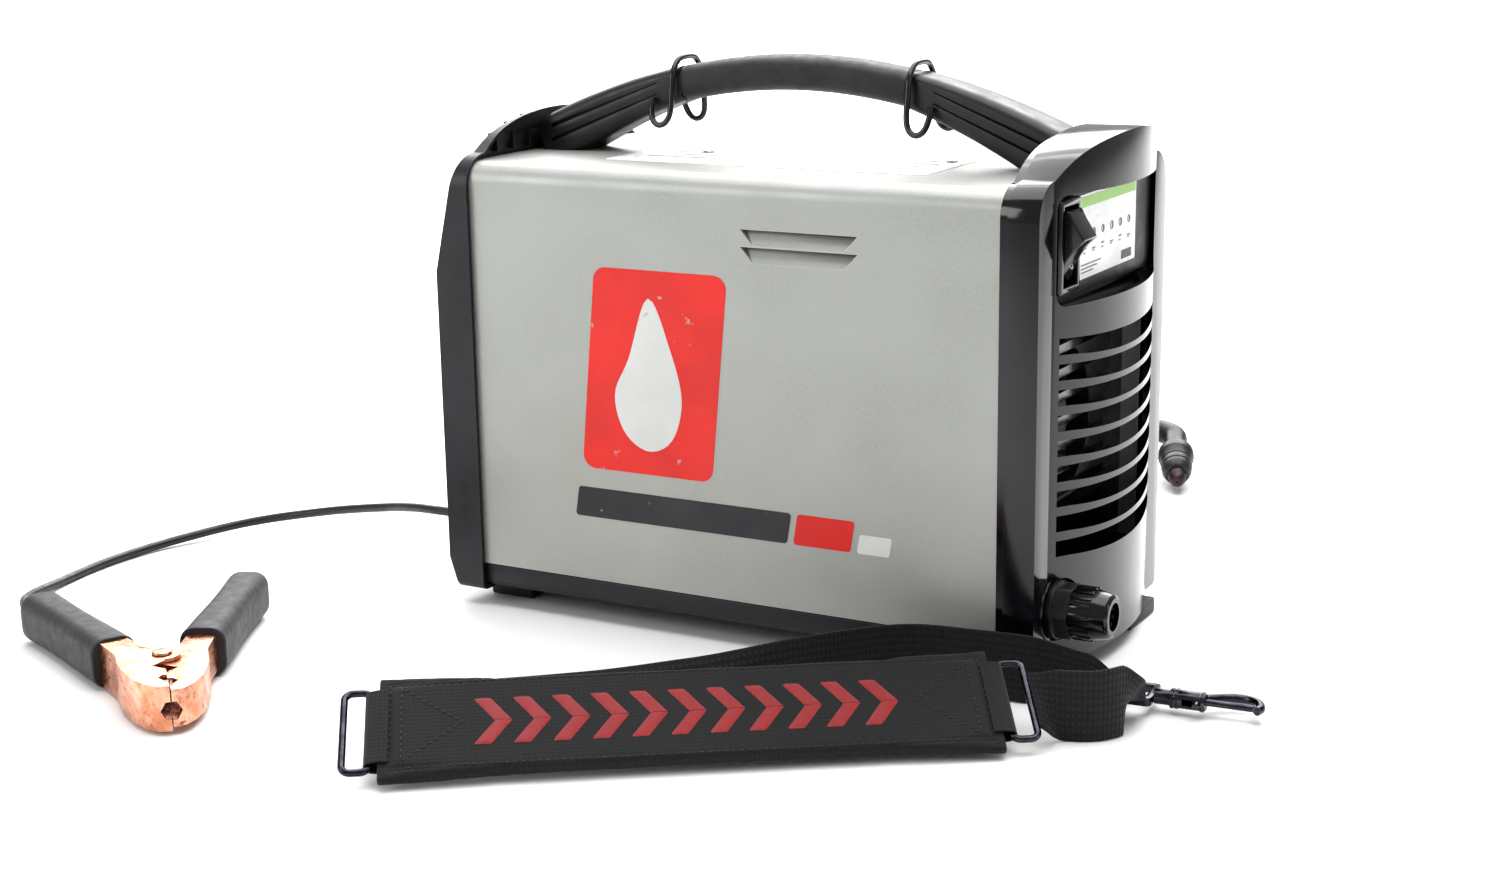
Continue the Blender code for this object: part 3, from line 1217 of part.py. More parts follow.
def tube_loop(name, points, radius, paint):
    curve = bpy.data.curves.new(name, "CURVE")
    curve.dimensions = "3D"
    curve.bevel_depth = radius
    curve.bevel_resolution = 2
    spline = curve.splines.new("POLY")
    spline.points.add(len(points) - 1)
    for point, place in zip(spline.points, points):
        point.co = (*place, 1)
    spline.use_cyclic_u = True
    return shade_round(as_mesh(bpy.data.objects.new(name, curve), paint))


def ribbon(name, route, z):
    """Webbing standing on its edge along a route on the floor."""
    line = smooth_route([(x, y, 0) for x, y in route], 0.008)
    left = []
    right = []
    for i, here in enumerate(line):
        ahead = line[min(i + 1, len(line) - 1)] - line[max(i - 1, 0)]
        across = Vector((-ahead.y, ahead.x, 0)).normalized() * WEBBING_THICK / 2
        left.append(((here + across).x, (here + across).y))
        right.append(((here - across).x, (here - across).y))
    slab(name, [left + right[::-1]], WEBBING_WIDTH, (0, 0, z), FLAT, FABRIC)


def from_switch_corner(points):
    """Places given from the machine's corner at the gland's tip."""
    return [(LENGTH / 2 + x, y - CAP_HALF) for x, y in points]


def webbing_back_route():
    """From the hook's eye round behind the pad and along its raised edge."""
    return from_switch_corner([
        (0.0080, 0.0125), (-0.0110, -0.0005), (-0.0340, -0.0105), (-0.0640, -0.0135), (-0.0960, -0.0195),
        (-0.1210, -0.0405), (-0.1440, -0.0755), (-0.1800, -0.1135), (-0.2250, -0.1495), (-0.2720, -0.1825),
        (-0.3110, -0.2095),
    ])


def webbing_front_route():
    """From the ring at the pad's end out and back to the hook's eye."""
    return from_switch_corner([
        (0.0030, -0.0535), (0.0190, -0.0465), (0.0275, -0.0335), (0.0260, -0.0195), (0.0220, -0.0045),
    ])


def webbing():
    z = WEBBING_WIDTH / 2 + 0.0003
    ribbon("strap_webbing_back", webbing_back_route(), z)
    ribbon("strap_webbing_front", webbing_front_route(), z)


def hook_matrix():
    return Matrix.Translation((*HOOK_EYE, HOOK_Z)) @ Matrix.Rotation(HOOK_TURN, 4, "Z")


def snap_hook():
    """Swivel snap hook: square eye for the webbing, swivelling body and sliding bolt."""
    frame = frame_at("hook_frame", hook_matrix())
    outline = rectangle(*EYE_HALF, 0.003, (0, 0), 3)
    opening = rectangle(EYE_HALF[0] - EYE_BAR, EYE_HALF[1] - EYE_BAR, 0.002, (0, 0), 3)
    eye = ride(slab("hook_eye", [outline, opening], EYE_THICK, (0, 0, 0), FLAT, GUNMETAL), frame)
    join(eye, ride(cylinder("hook_eye_stub", 0.0042, 0.0080, (0.0140, 0, 0), "X", sides=16), frame))
    barrel = ride(turned("hook_body", [
        (0, BARREL_END), (BARREL - 0.0004, BARREL_END), (BARREL, BARREL_END - 0.0015),
        (BARREL, BARREL_START + 0.0015), (BARREL - 0.0006, BARREL_START), (0, BARREL_START),
    ], (0, 0, 0), "X", GUNMETAL, 16), frame)
    bend = [(0.0330, 0.0030, 0), (0.0400, 0.0070, 0), (0.0480, 0.0118, 0), (0.0565, 0.0122, 0),
            (0.0630, 0.0080, 0), (0.0655, 0.0015, 0), (0.0645, -0.0030, 0)]
    join(barrel, ride(tube("hook_claw", smooth_route(bend, 0.003), CLAW, None, 2), frame))
    bore_start = BOLT_START - BOLT_TRAVEL - 0.0008
    bore = ride(cylinder("bolt_bore", BOLT + GAP, 0.03, (bore_start + 0.015, 0, 0), "X", sides=12), frame)
    bore_end = BARREL_END + 0.001
    limit = box("bolt_bore_limit", (bore_end - bore_start, 0.01, 0.01), ((bore_end + bore_start) / 2, 0, 0))
    slot_start = BOLT_KNOB - BOLT_TRAVEL - 0.0022
    slot = box("bolt_slot", (BOLT_TRAVEL + 0.0046, 0.012, 0.0042),
               (slot_start + (BOLT_TRAVEL + 0.0046) / 2, -0.0060, 0))
    cut(barrel, ride(slot, frame), keep_inside(bore, ride(limit, frame)))
    length = BOLT_END - BOLT_START
    middle = (BOLT_START + length / 2, 0, 0)
    bolt = ride(cylinder("hook_bolt", BOLT, length, middle, "X", GUNMETAL, 12), frame)
    knob = cylinder("hook_bolt_knob", KNOB_STEM, 0.0090, (BOLT_KNOB, -0.0045, 0), "Y", sides=10)
    join(bolt, ride(knob, frame))


# ---------------------------------------------------------------- build
def build():
    cover()
    base_pan()
    switch_end_cap()
    lead_end_cap()
    feet()
    handle()
    hangers()
    switch_parts()
    gland()
    control_panel()
    divider()
    electronics()
    fan()
    compressor()
    relief("work_lead_relief", -RELIEF_Y, WORK_LEAD)
    relief("torch_lead_relief", RELIEF_Y, TORCH_LEAD)
    work_lead()
    clamp()
    torch()
    torch_coil()
    torch_leads()
    strap()


build()
bpy.context.view_layer.update()
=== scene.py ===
"""Looks of a portable air plasma cutter: the power unit, work lead and clamp, torch and shoulder strap.

Metres, +Z up, the same frame as the CAD model. Every piece sits at the origin with its place in its mesh.
"""
import math

import bmesh
import bpy
from mathutils import Matrix, Vector


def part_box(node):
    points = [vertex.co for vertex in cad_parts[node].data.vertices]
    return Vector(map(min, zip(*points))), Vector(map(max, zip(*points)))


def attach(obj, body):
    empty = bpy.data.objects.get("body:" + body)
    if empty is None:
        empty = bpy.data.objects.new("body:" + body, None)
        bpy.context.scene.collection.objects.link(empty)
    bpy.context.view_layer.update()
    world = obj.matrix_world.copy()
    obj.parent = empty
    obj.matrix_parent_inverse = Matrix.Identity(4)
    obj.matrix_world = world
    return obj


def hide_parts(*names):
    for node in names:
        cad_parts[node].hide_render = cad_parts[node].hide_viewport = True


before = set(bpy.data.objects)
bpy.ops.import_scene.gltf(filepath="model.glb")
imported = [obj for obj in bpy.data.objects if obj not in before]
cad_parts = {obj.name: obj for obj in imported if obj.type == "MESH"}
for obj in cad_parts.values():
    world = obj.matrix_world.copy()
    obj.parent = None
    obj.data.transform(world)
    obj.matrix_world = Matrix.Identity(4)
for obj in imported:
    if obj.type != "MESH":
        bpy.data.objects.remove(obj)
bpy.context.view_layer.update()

# ---------------------------------------------------------------- sizes taken over from the CAD model
MIDDLE = -0.01425           # middle of the case along X
COVER_HALF = 0.0949
COVER_TOP = 0.272
CAP_HALF = 0.0985
CAP_BOTTOM = 0.010
CROWN_TOP = 0.297
SHOULDER = 0.276
WALL = 0.0025
LEAD_FACE = -0.210
LEAD_SKIRT = -0.1855
SWITCH_SKIRT = 0.157
SWITCH_RIM = 0.175
BULGE = 0.016
PANEL_HALF = 0.079
GRIP_HALF = 0.074
HANDLE_TOP = 0.332
HANDLE_TALL = 0.0205        # height of the handle's section over its grip
HANDLE_FLARE = 0.12         # how much taller it gets for each metre beyond the grip
RELIEF_SIDE = 0.05          # the two leads leave the lead cap this far from its middle
RELIEF_HEIGHT = 0.041
PANEL_HEIGHT = 0.161        # middle of the control panel
ARCH_DROP = 1.43
GLAND = Vector((0.176, -0.070, 0.042))
CLAMP = Matrix.Translation((-0.2426, -0.3158, 0.0150)) @ Matrix.Rotation(math.radians(137.3), 4, "Z")
LEVER_TURN = math.radians(19.5)
PAD = (
    Matrix.Translation((0.0534, -0.2536, 0.020463))
    @ Matrix.Rotation(math.radians(34.7), 4, "Z")
    @ Matrix.Rotation(math.radians(28), 4, "X")
)
PAD_HALF = (0.158, 0.035)
WEBBING_WIDTH = 0.038
WEBBING_THICK = 0.0017
RING_LENGTH = 0.0135
RING_HALF = 0.026
RING_WIRE = 0.0019
RING_GAP = 0.0003           # between the pad's end and the ring's bar
HOOK = Matrix.Translation((0.2300, -0.0880, 0.0080)) @ Matrix.Rotation(math.radians(4), 4, "Z")
TORCH = (
    Matrix.Translation((0.083, 0.405, 0.0310))
    @ Matrix.Rotation(math.radians(9), 4, "Z")
    @ Matrix.Rotation(math.radians(-4.5), 4, "Y")
    @ Matrix.Rotation(math.radians(17), 4, "X")
)


# ---------------------------------------------------------------- material helpers
def colour(hex_code):
    """An sRGB hex value as linear red, green, blue and alpha."""
    shares = [int(hex_code[i:i + 2], 16) / 255 for i in (0, 2, 4)]
    return [s / 12.92 if s <= 0.04045 else ((s + 0.055) / 1.055) ** 2.4 for s in shares] + [1.0]


def add_node(tree, kind, inputs=None, **settings):
    """Add one node with its settings, and its inputs as plain values or as sockets to link."""
    node = tree.nodes.new(kind)
    for key, value in settings.items():
        setattr(node, key, value)
    for key, value in (inputs or {}).items():
        if isinstance(value, bpy.types.NodeSocket):
            tree.links.new(value, node.inputs[key])
        else:
            node.inputs[key].default_value = value
    return node


def bands(pitch):
    """The scale of a wave texture for bands a pitch in millimetres apart. It has 20 radians to one unit."""
    return 1000 * math.tau / 20 / pitch


class Finish:
    """A material, its shader and the place socket its patterns read, with the record's slot it stands for."""

    def __init__(self, name, slot, base, roughness, metallic=0.0, **constants):
        self.material = bpy.data.materials.new(name)
        self.material.use_nodes = True
        self.material.diffuse_color = colour(base)
        self.slot = slot
        self.tree = self.material.node_tree
        self.shader = self.tree.nodes["Principled BSDF"]
        self.shader.inputs["Base Color"].default_value = colour(base)
        self.shader.inputs["Roughness"].default_value = roughness
        self.shader.inputs["Metallic"].default_value = metallic
        for key, value in constants.items():
            self.shader.inputs[key.replace("_", " ")].default_value = value
        self.place = self.add("ShaderNodeTexCoord").outputs["Object"]
        self.normal = None

    def add(self, kind, inputs=None, **settings):
        return add_node(self.tree, kind, inputs, **settings)

    def patches(self, size, low=0.4, high=0.6, detail=4.0, place=None):
        """Soft patches of a size in millimetres, as a share from 0 to 1."""
        noise = self.add("ShaderNodeTexNoise", {
            "Vector": place or self.place, "Scale": 1000 / size, "Detail": detail,
        })
        return self.add("ShaderNodeMapRange", {
            "Value": noise.outputs["Fac"], "From Min": low, "From Max": high,
        }).outputs["Result"]

    def blend(self, share, first, second):
        """A colour between two, each a hex value or a socket."""
        mix = self.add("ShaderNodeMix", {0: share}, data_type="RGBA")
        for index, value in ((6, first), (7, second)):
            if isinstance(value, str):
                mix.inputs[index].default_value = colour(value)
            else:
                self.tree.links.new(value, mix.inputs[index])
        return mix.outputs[2]

    def span(self, share, first, second):
        """A value that runs from first to second."""
        return self.add("ShaderNodeMapRange", {
            "Value": share, "To Min": first, "To Max": second,
        }).outputs["Result"]

    def raise_by(self, height, depth):
        """Bump from a height from 0 to 1, with its depth in millimetres, on top of any bump so far."""
        inputs = {"Height": height, "Distance": depth / 1000, "Strength": 1.0}
        if self.normal is not None:
            inputs["Normal"] = self.normal
        self.normal = self.add("ShaderNodeBump", inputs).outputs["Normal"]
        self.tree.links.new(self.normal, self.shader.inputs["Normal"])

    def paint(self, base=None, roughness=None):
        for key, socket in (("Base Color", base), ("Roughness", roughness)):
            if socket is not None:
                self.tree.links.new(socket, self.shader.inputs[key])

    def edges(self, radius):
        """Where the surface turns within a radius in millimetres, as a share from 0 to 1."""
        rounded = self.add("ShaderNodeBevel", {"Radius": radius / 1000}, samples=4)
        flat = self.add("ShaderNodeNewGeometry").outputs["Normal"]
        turn = self.add("ShaderNodeVectorMath", {0: rounded.outputs["Normal"], 1: flat}, operation="DOT_PRODUCT")
        return self.add("ShaderNodeMapRange", {
            "Value": turn.outputs["Value"], "From Min": 0.995, "From Max": 0.90,
        }).outputs["Result"]

    def grain(self, size, depth, detail=2.0):
        """An even grain over the surface, by its size and depth in millimetres."""
        noise = self.add("ShaderNodeTexNoise", {"Vector": self.place, "Scale": 1000 / size, "Detail": detail})
        self.raise_by(noise.outputs["Fac"], depth)


# ---------------------------------------------------------------- finishes
def powder_coat():
    """Silver-grey powder coat on sheet steel: aluminium flake in a satin film, with a fine orange peel."""
    skin = Finish("silver_powder_coat", "silver_powder_coat", "A4A6A1", 0.42, 0.35)
    flake = skin.add("ShaderNodeTexVoronoi", {"Vector": skin.place, "Scale": 1000 / 0.7})
    shine = skin.blend(skin.span(flake.outputs["Color"], 0.0, 0.32), "9C9E99", "C2C4BF")
    worn = skin.blend(skin.patches(90, 0.35, 0.65), shine, "A9ABA7")
    skin.paint(
        skin.blend(skin.span(skin.edges(0.8), 0.0, 0.6), worn, "D0D2CE"),
        skin.span(skin.patches(35, 0.3, 0.7), 0.38, 0.47),
    )
    skin.grain(1.1, 0.035)
    return skin


def gloss_abs():
    """Blue-black ABS from a polished mould: mirror gloss with faint flow waves and fine dust."""
    skin = Finish("gloss_blue_black_abs", "gloss_black_plastic", "0B0D13", 0.13, IOR=1.5, Coat_Weight=0.15,
                  Coat_Roughness=0.06)
    dust = skin.patches(0.9, 0.62, 0.70, 1.0)
    skin.paint(
        skin.blend(skin.span(dust, 0.0, 0.10), skin.blend(skin.patches(60), "06070B", "0A0B11"), "50545E"),
        skin.span(skin.patches(22, 0.35, 0.7), 0.10, 0.19),
    )
    skin.grain(14.0, 0.03, 0.0)
    return skin


def grained_moulding():
    """Dark blue-grey moulding from a spark-eroded mould: even matte grain and paler rubbed edges."""
    skin = Finish("grained_dark_moulding", "matte_black_plastic", "16171B", 0.42, IOR=1.5)
    rubbed = skin.span(skin.edges(0.9), 0.0, 0.45)
    skin.paint(
        skin.blend(rubbed, skin.blend(skin.patches(45), "131418", "1B1C21"), "3A3C44"),
        skin.span(skin.patches(12, 0.3, 0.7), 0.34, 0.50),
    )
    skin.grain(0.8, 0.06)
    return skin


def rubber():
    """Moulded rubber: dull, slightly dusty in its hollows and greyer where hands rub it."""
    skin = Finish("moulded_black_rubber", "black_rubber", "232326", 0.62, IOR=1.52, Sheen_Weight=0.08)
    skin.paint(
        skin.blend(skin.patches(18, 0.35, 0.65), "17171A", "212125"),
        skin.span(skin.patches(6, 0.3, 0.7), 0.50, 0.68),
    )
    skin.grain(0.9, 0.05)
    return skin


def coated_wire():
    """Black gloss coating on bent spring wire, thin enough to follow the drawn wire's waves."""
    skin = Finish("black_coated_spring_wire", "black_coated_wire", "0D0D10", 0.24, 0.2, Coat_Weight=0.5,
                  Coat_Roughness=0.12)
    skin.paint(None, skin.span(skin.patches(5, 0.3, 0.7), 0.18, 0.32))
    skin.grain(2.0, 0.05)
    return skin


def copper():
    """Copper-plated steel stampings: bright pink metal, tarnished brown in patches and nicked on the edges."""
    skin = Finish("copper_plated_stamping", "copper_plate", "DE9C7D", 0.3, 1.0)
    bright = skin.blend(skin.patches(9, 0.35, 0.62), "E9B196", "CF8A6B")
    tarnish = skin.blend(skin.patches(4, 0.55, 0.72), bright, "8E5A42")
    skin.paint(
        skin.blend(skin.span(skin.edges(0.7), 0.0, 0.7), tarnish, "F6CDB8"),
        skin.span(skin.patches(3, 0.3, 0.7), 0.22, 0.42),
    )
    skin.grain(1.6, 0.10)
    return skin


def steel():
    """Bright zinc-plated spring and pin steel, drawn, so its shine breaks up along fine lines."""
    skin = Finish("bright_drawn_steel", "bright_steel", "B9BBBE", 0.28, 1.0)
    skin.paint(
        skin.blend(skin.patches(5), "B2B4B8", "CACCCF"),
        skin.span(skin.patches(1.5, 0.3, 0.7), 0.20, 0.38),
    )
    skin.grain(0.7, 0.03)
    return skin


def galvanised():
    """Hot-dip galvanised sheet: crystals of about nine millimetres, each with its own grey."""
    skin = Finish("galvanised_sheet_spangle", "galvanised_sheet", "9EA2A3", 0.42, 0.9)
    crystal = skin.add("ShaderNodeTexVoronoi", {"Vector": skin.place, "Scale": 1000 / 9})
    share = crystal.outputs["Color"]
    skin.paint(skin.blend(share, "8F9496", "B4B8B9"), skin.span(share, 0.34, 0.52))
    skin.grain(2.5, 0.03)
    return skin


def casting():
    """Die-cast aluminium: matte, lightly pitted skin."""
    skin = Finish("die_cast_aluminium", "aluminium_casting", "AEB0B2", 0.45, 1.0)
    skin.paint(skin.blend(skin.patches(8), "A2A4A7", "BCBEC0"), skin.span(skin.patches(2), 0.38, 0.55))
    skin.grain(1.2, 0.12)
    return skin


def circuit_board():
    """Green solder mask over copper tracks, which show as raised paler lines two millimetres apart."""
    skin = Finish("solder_mask_board", "circuit_board", "1B5234", 0.35, Coat_Weight=0.3)
    tracks = skin.add("ShaderNodeTexBrick", {
        "Vector": skin.place, "Scale": 120.0, "Mortar Size": 0.03, "Color1": colour("000000"),
        "Color2": colour("000000"), "Mortar": colour("FFFFFF"),
    }).outputs["Fac"]
    skin.paint(skin.blend(tracks, "1A4E31", "3C8A5B"))
    skin.raise_by(tracks, 0.05)
    return skin


def winding():
    """Enamelled copper wire laid turn on turn: glossy brown ridges two millimetres apart, painted lighter along
    each ridge's top as a highlight and darker in the grooves between turns as shade.
    """
    skin = Finish("enamelled_copper_winding", "enamelled_copper", "8E4720", 0.3, 0.6)
    turns = skin.add("ShaderNodeTexWave", {
        "Vector": skin.place, "Scale": bands(1.979), "Distortion": 0.4,
    }, bands_direction="Z").outputs["Fac"]
    # painted light: the grooves between turns get a painted shade and the ridge tops a painted highlight, on the
    # same bands as the bump
    skin.paint(skin.blend(turns, "5E2C12", "B46630"))
    skin.raise_by(turns, 0.3)
    return skin


def label_film():
    """White printed polyester film: smooth and slightly glossy, greyed a little by handling."""
    skin = Finish("white_label_film", "printed_label", "E6E8E6", 0.32, IOR=1.6)
    skin.paint(
        skin.blend(skin.patches(30, 0.35, 0.7), "E9EBE9", "DADCDA"),
        skin.span(skin.patches(9, 0.3, 0.7), 0.26, 0.40),
    )
    skin.grain(6.0, 0.02)
    return skin


def print_ink(name, base):
    """Screen-printed ink on film: flat, with tiny pinholes that only show close up."""
    skin = Finish(name, "printed_label", base, 0.4)
    pinholes = skin.patches(0.8, 0.66, 0.72, 1.0)
    skin.paint(skin.blend(skin.span(pinholes, 0.0, 0.35), base, "D8DAD8"))
    skin.grain(1.5, 0.01)
    return skin


def cover_film(name, base, rubbed):
    """Cut vinyl film stuck on the cover: satin gloss, scuffed through to the grey in small flecks."""
    skin = Finish(name, "printed_label", base, 0.36, IOR=1.5)
    flecks = skin.patches(7, 0.68, 0.74, 6.0)
    skin.paint(
        skin.blend(skin.span(flecks, 0.0, 0.75), skin.blend(skin.patches(40), base, rubbed), "B4B2AE"),
        skin.span(skin.patches(12, 0.3, 0.7), 0.30, 0.46),
    )
    skin.grain(3.0, 0.02)
    return skin


def lens():
    """Smoked acrylic in front of the indicator lamps: smooth and deep, a little green."""
    skin = Finish("smoked_acrylic_lens", "indicator_lens", "16301C", 0.08, Coat_Weight=0.6, Coat_Roughness=0.03)
    skin.paint(skin.blend(skin.patches(10), "132A18", "1E4226"), skin.span(skin.patches(4), 0.06, 0.14))
    return skin


def webbing():
    """Polypropylene webbing: ribs four millimetres apart, crossed by finer threads, with painted shade in the
    hollows between threads.
    """
    skin = Finish("black_woven_webbing", "black_webbing", "101013", 0.78, Sheen_Weight=0.12, Sheen_Roughness=0.4)
    cloth = skin.add("ShaderNodeTexCoord").outputs["UV"]
    ribs = skin.add("ShaderNodeTexWave", {"Vector": cloth, "Scale": bands(3.946)}, bands_direction="Y")
    picks = skin.add("ShaderNodeTexWave", {"Vector": cloth, "Scale": bands(2.565)}, bands_direction="X")
    weave = skin.add("ShaderNodeMath", {0: ribs.outputs["Fac"], 1: picks.outputs["Fac"]}, operation="MULTIPLY")
    # painted shade: darker where the weave dips between threads, lighter on the raised threads
    skin.paint(skin.blend(weave.outputs[0], "08080A", "1F1F24"))
    skin.raise_by(weave.outputs[0], 0.35)
    return skin


def canvas():
    """Nylon canvas on the shoulder pad: a plain weave, drawn at 2.4 mm so that it shows, with painted shade in the
    hollows between threads, and fine lint.
    """
    skin = Finish("black_pad_canvas", "black_webbing", "0F0F13", 0.85, Sheen_Weight=0.12, Sheen_Roughness=0.5)
    turn = PAD.to_euler()
    spun = skin.add("ShaderNodeMapping", {"Vector": skin.place, "Rotation": (0, 0, -turn.z)})
    flat = skin.add("ShaderNodeMapping", {"Vector": spun.outputs["Vector"], "Rotation": (-turn.x, 0, 0)})
    warp = skin.add("ShaderNodeTexWave", {"Vector": flat.outputs["Vector"], "Scale": bands(2.368)},
                    bands_direction="X")
    weft = skin.add("ShaderNodeTexWave", {"Vector": flat.outputs["Vector"], "Scale": bands(2.368)},
                    bands_direction="Y")
    weave = skin.add("ShaderNodeMath", {0: warp.outputs["Fac"], 1: weft.outputs["Fac"]}, operation="MULTIPLY")
    lint = skin.span(skin.patches(1.3, 0.64, 0.72), 0.0, 0.25)
    # painted shade: the weave is darker in its hollows between threads; the lint is pale dust on top
    skin.paint(skin.blend(lint, skin.blend(weave.outputs[0], "0A0A0D", "15151A"), "44444C"))
    skin.raise_by(weave.outputs[0], 0.12)
    return skin


def gunmetal():
    """Black-nickel plated zinc: dark mirror metal, brighter where the plating is rubbed on its edges."""
    skin = Finish("black_nickel_plate", "gunmetal_plate", "3B3B40", 0.2, 1.0)
    skin.paint(
        skin.blend(
            skin.span(skin.edges(0.5), 0.0, 0.6), skin.blend(skin.patches(6), "34343A", "48484E"), "8C8C92",
        ),
        skin.span(skin.patches(3, 0.3, 0.7), 0.14, 0.28),
    )
    skin.grain(1.5, 0.03)
    return skin


def brass():
    """Turned brass fitting: warm yellow with faint tool rings."""
    skin = Finish("turned_brass", "brass_fitting", "B58A4E", 0.3, 1.0)
    skin.paint(skin.blend(skin.patches(5), "AC8046", "C69C5E"), skin.span(skin.patches(1.2), 0.24, 0.4))
    skin.grain(0.8, 0.03)
    return skin


def burnt_copper():
    """Torch nozzle copper after use: blued and browned by heat."""
    skin = Finish("heat_stained_copper", "brass_fitting", "4A3A38", 0.42, 0.9)
    skin.paint(
        skin.blend(skin.patches(5, 0.35, 0.65), "3A2C2E", skin.blend(skin.patches(2), "5A4238", "3A4054")),
        skin.span(skin.patches(2), 0.34, 0.55),
    )
    skin.grain(1.0, 0.05)
    return skin


def jacket():
    """Rubber cable jacket: semi-matte, with the slight lengthwise drag of its extrusion and some dust."""
    skin = Finish("rubber_cable_jacket", "black_rubber", "17171A", 0.42, IOR=1.52)
    dust = skin.span(skin.patches(3, 0.6, 0.72), 0.0, 0.18)
    skin.paint(
        skin.blend(dust, skin.blend(skin.patches(25), "0E0E10", "161619"), "4A4A50"),
        skin.span(skin.patches(7, 0.3, 0.7), 0.34, 0.52),
    )
    skin.grain(1.8, 0.06)
    return skin


def thread(name, base, shade):
    """Polyester thread: twisted strands under two millimetres apart with a silky sheen, and painted shade in the
    grooves between strands.
    """
    skin = Finish(name, "black_webbing", base, 0.5, Sheen_Weight=0.3, Sheen_Roughness=0.3)
    cloth = skin.add("ShaderNodeTexCoord").outputs["UV"]
    strand = skin.add("ShaderNodeTexWave", {"Vector": cloth, "Scale": bands(1.776)}, bands_direction="X")
    # painted shade: the grooves between strands take the darker shade colour, the strand tops the base colour
    skin.paint(skin.blend(strand.outputs["Fac"], shade, base))
    skin.raise_by(strand.outputs["Fac"], 0.25)
    return skin


FINISHES = {
    "powder": powder_coat(),
    "gloss": gloss_abs(),
    "matte": grained_moulding(),
    "rubber": rubber(),
    "wire": coated_wire(),
    "copper": copper(),
    "steel": steel(),
    "galvanised": galvanised(),
    "casting": casting(),
    "board": circuit_board(),
    "winding": winding(),
    "film": label_film(),
    "green_ink": print_ink("green_print_ink", "8FC05A"),
    "grey_ink": print_ink("grey_print_ink", "55585C"),
    "white_ink": print_ink("white_print_ink", "E2E4E6"),
    "red_film": cover_film("red_cover_film", "E0281F", "D4241C"),
    "dark_film": cover_film("dark_cover_film", "26262A", "2E2E33"),
    "pale_film": cover_film("pale_cover_film", "D6D8D6", "CDCFCD"),
    "lens": lens(),
    "webbing": webbing(),
    "canvas": canvas(),
    "gunmetal": gunmetal(),
    "brass": brass(),
    "burnt": burnt_copper(),
    "jacket": jacket(),
    "red_thread": thread("red_embroidery_thread", "F03038", "D41E26"),
    "black_thread": thread("black_stitching_thread", "2A2A2F", "121214"),
}
FOR_SLOT = {
    "silver_powder_coat": "powder", "gloss_black_plastic": "gloss", "matte_black_plastic": "matte",
    "black_rubber": "rubber", "black_coated_wire": "wire", "copper_plate": "copper", "bright_steel": "steel",
    "galvanised_sheet": "galvanised", "aluminium_casting": "casting", "circuit_board": "board",
    "enamelled_copper": "winding", "printed_label": "film", "indicator_lens": "lens", "black_webbing": "webbing",
    "gunmetal_plate": "gunmetal", "brass_fitting": "brass",
}
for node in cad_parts.values():
    slot_name = node.data.materials[0].name.split(".")[0]
    node.data.materials[0] = FINISHES[FOR_SLOT.get(slot_name, "matte")].material


# ---------------------------------------------------------------- modelling helpers
def deselect():
    if bpy.context.object and bpy.context.mode != "OBJECT":
        bpy.ops.object.mode_set(mode="OBJECT")
    bpy.ops.object.select_all(action="DESELECT")


def take(obj):
    deselect()
    obj.select_set(True)
    bpy.context.view_layer.objects.active = obj
    return obj


def primitive(kind, name, **settings):
    """Add a mesh primitive at its size and place, with nothing else selected."""
    deselect()
    getattr(bpy.ops.mesh, f"primitive_{kind}_add")(**settings)
    obj = bpy.context.active_object
    obj.name = obj.data.name = name
    bpy.ops.object.transform_apply(location=True, rotation=True, scale=True)
    return obj


def modify(obj, kind, **settings):
    """Add a modifier and apply it."""
    take(obj)
    bpy.ops.object.modifier_add(type=kind)
    step = obj.modifiers[-1]
    for key, value in settings.items():
        setattr(step, key, value)
    bpy.ops.object.modifier_apply(modifier=step.name)
    return obj


def edit(obj):
    """Open a mesh for editing with everything selected."""
    take(obj)
    bpy.ops.object.mode_set(mode="EDIT")
    bpy.ops.mesh.select_all(action="SELECT")
    return bmesh.from_edit_mesh(obj.data)


def leave():
    bpy.ops.object.mode_set(mode="OBJECT")


def tidy_mesh(obj, capped=False):
    """Merge doubles, close the ends if asked, and turn the faces outwards."""
    edit(obj)
    bpy.ops.mesh.remove_doubles(threshold=0.000002)
    bpy.ops.mesh.dissolve_degenerate(threshold=0.000001)
    if capped:
        bpy.ops.mesh.select_all(action="SELECT")
        bpy.ops.mesh.fill_holes(sides=0)
    bpy.ops.mesh.select_all(action="SELECT")
    bpy.ops.mesh.normals_make_consistent(inside=False)
    leave()
    return obj


def smooth(obj, angle=25):
    take(obj)
    bpy.ops.object.shade_smooth_by_angle(angle=math.radians(angle))
    return obj


def soften(obj, width, segments=2, angle=35, shade=25):
    """Round the edges sharper than an angle."""
    modify(obj, "BEVEL", width=width / 1000, segments=segments, limit_method="ANGLE",
           angle_limit=math.radians(angle), use_clamp_overlap=True)
    return smooth(obj, shade)


def block(name, size, centre, turn=(0, 0, 0), bevel=0.0):
    obj = primitive("cube", name, size=1, location=centre, rotation=turn, scale=size)
    return soften(obj, bevel) if bevel else obj


def plate(name, outline, facing, start, depth):
    """A filled outline drawn across one axis, by its other two coordinates in order, and drawn out along it."""
    axis = "XYZ".index(facing)
    others = [i for i in range(3) if i != axis]
    obj = primitive("circle", name, vertices=len(outline), radius=1, fill_type="NGON")
    for vertex, point in zip(obj.data.vertices, outline):
        vertex.co[axis] = start
        vertex.co[others[0]], vertex.co[others[1]] = point
    step = [0.0, 0.0, 0.0]
    step[axis] = depth
    edit(obj)
    bpy.ops.mesh.extrude_region_move(TRANSFORM_OT_translate={"value": step})
    bpy.ops.mesh.select_all(action="SELECT")
    bpy.ops.mesh.normals_make_consistent(inside=False)
    leave()
    return obj


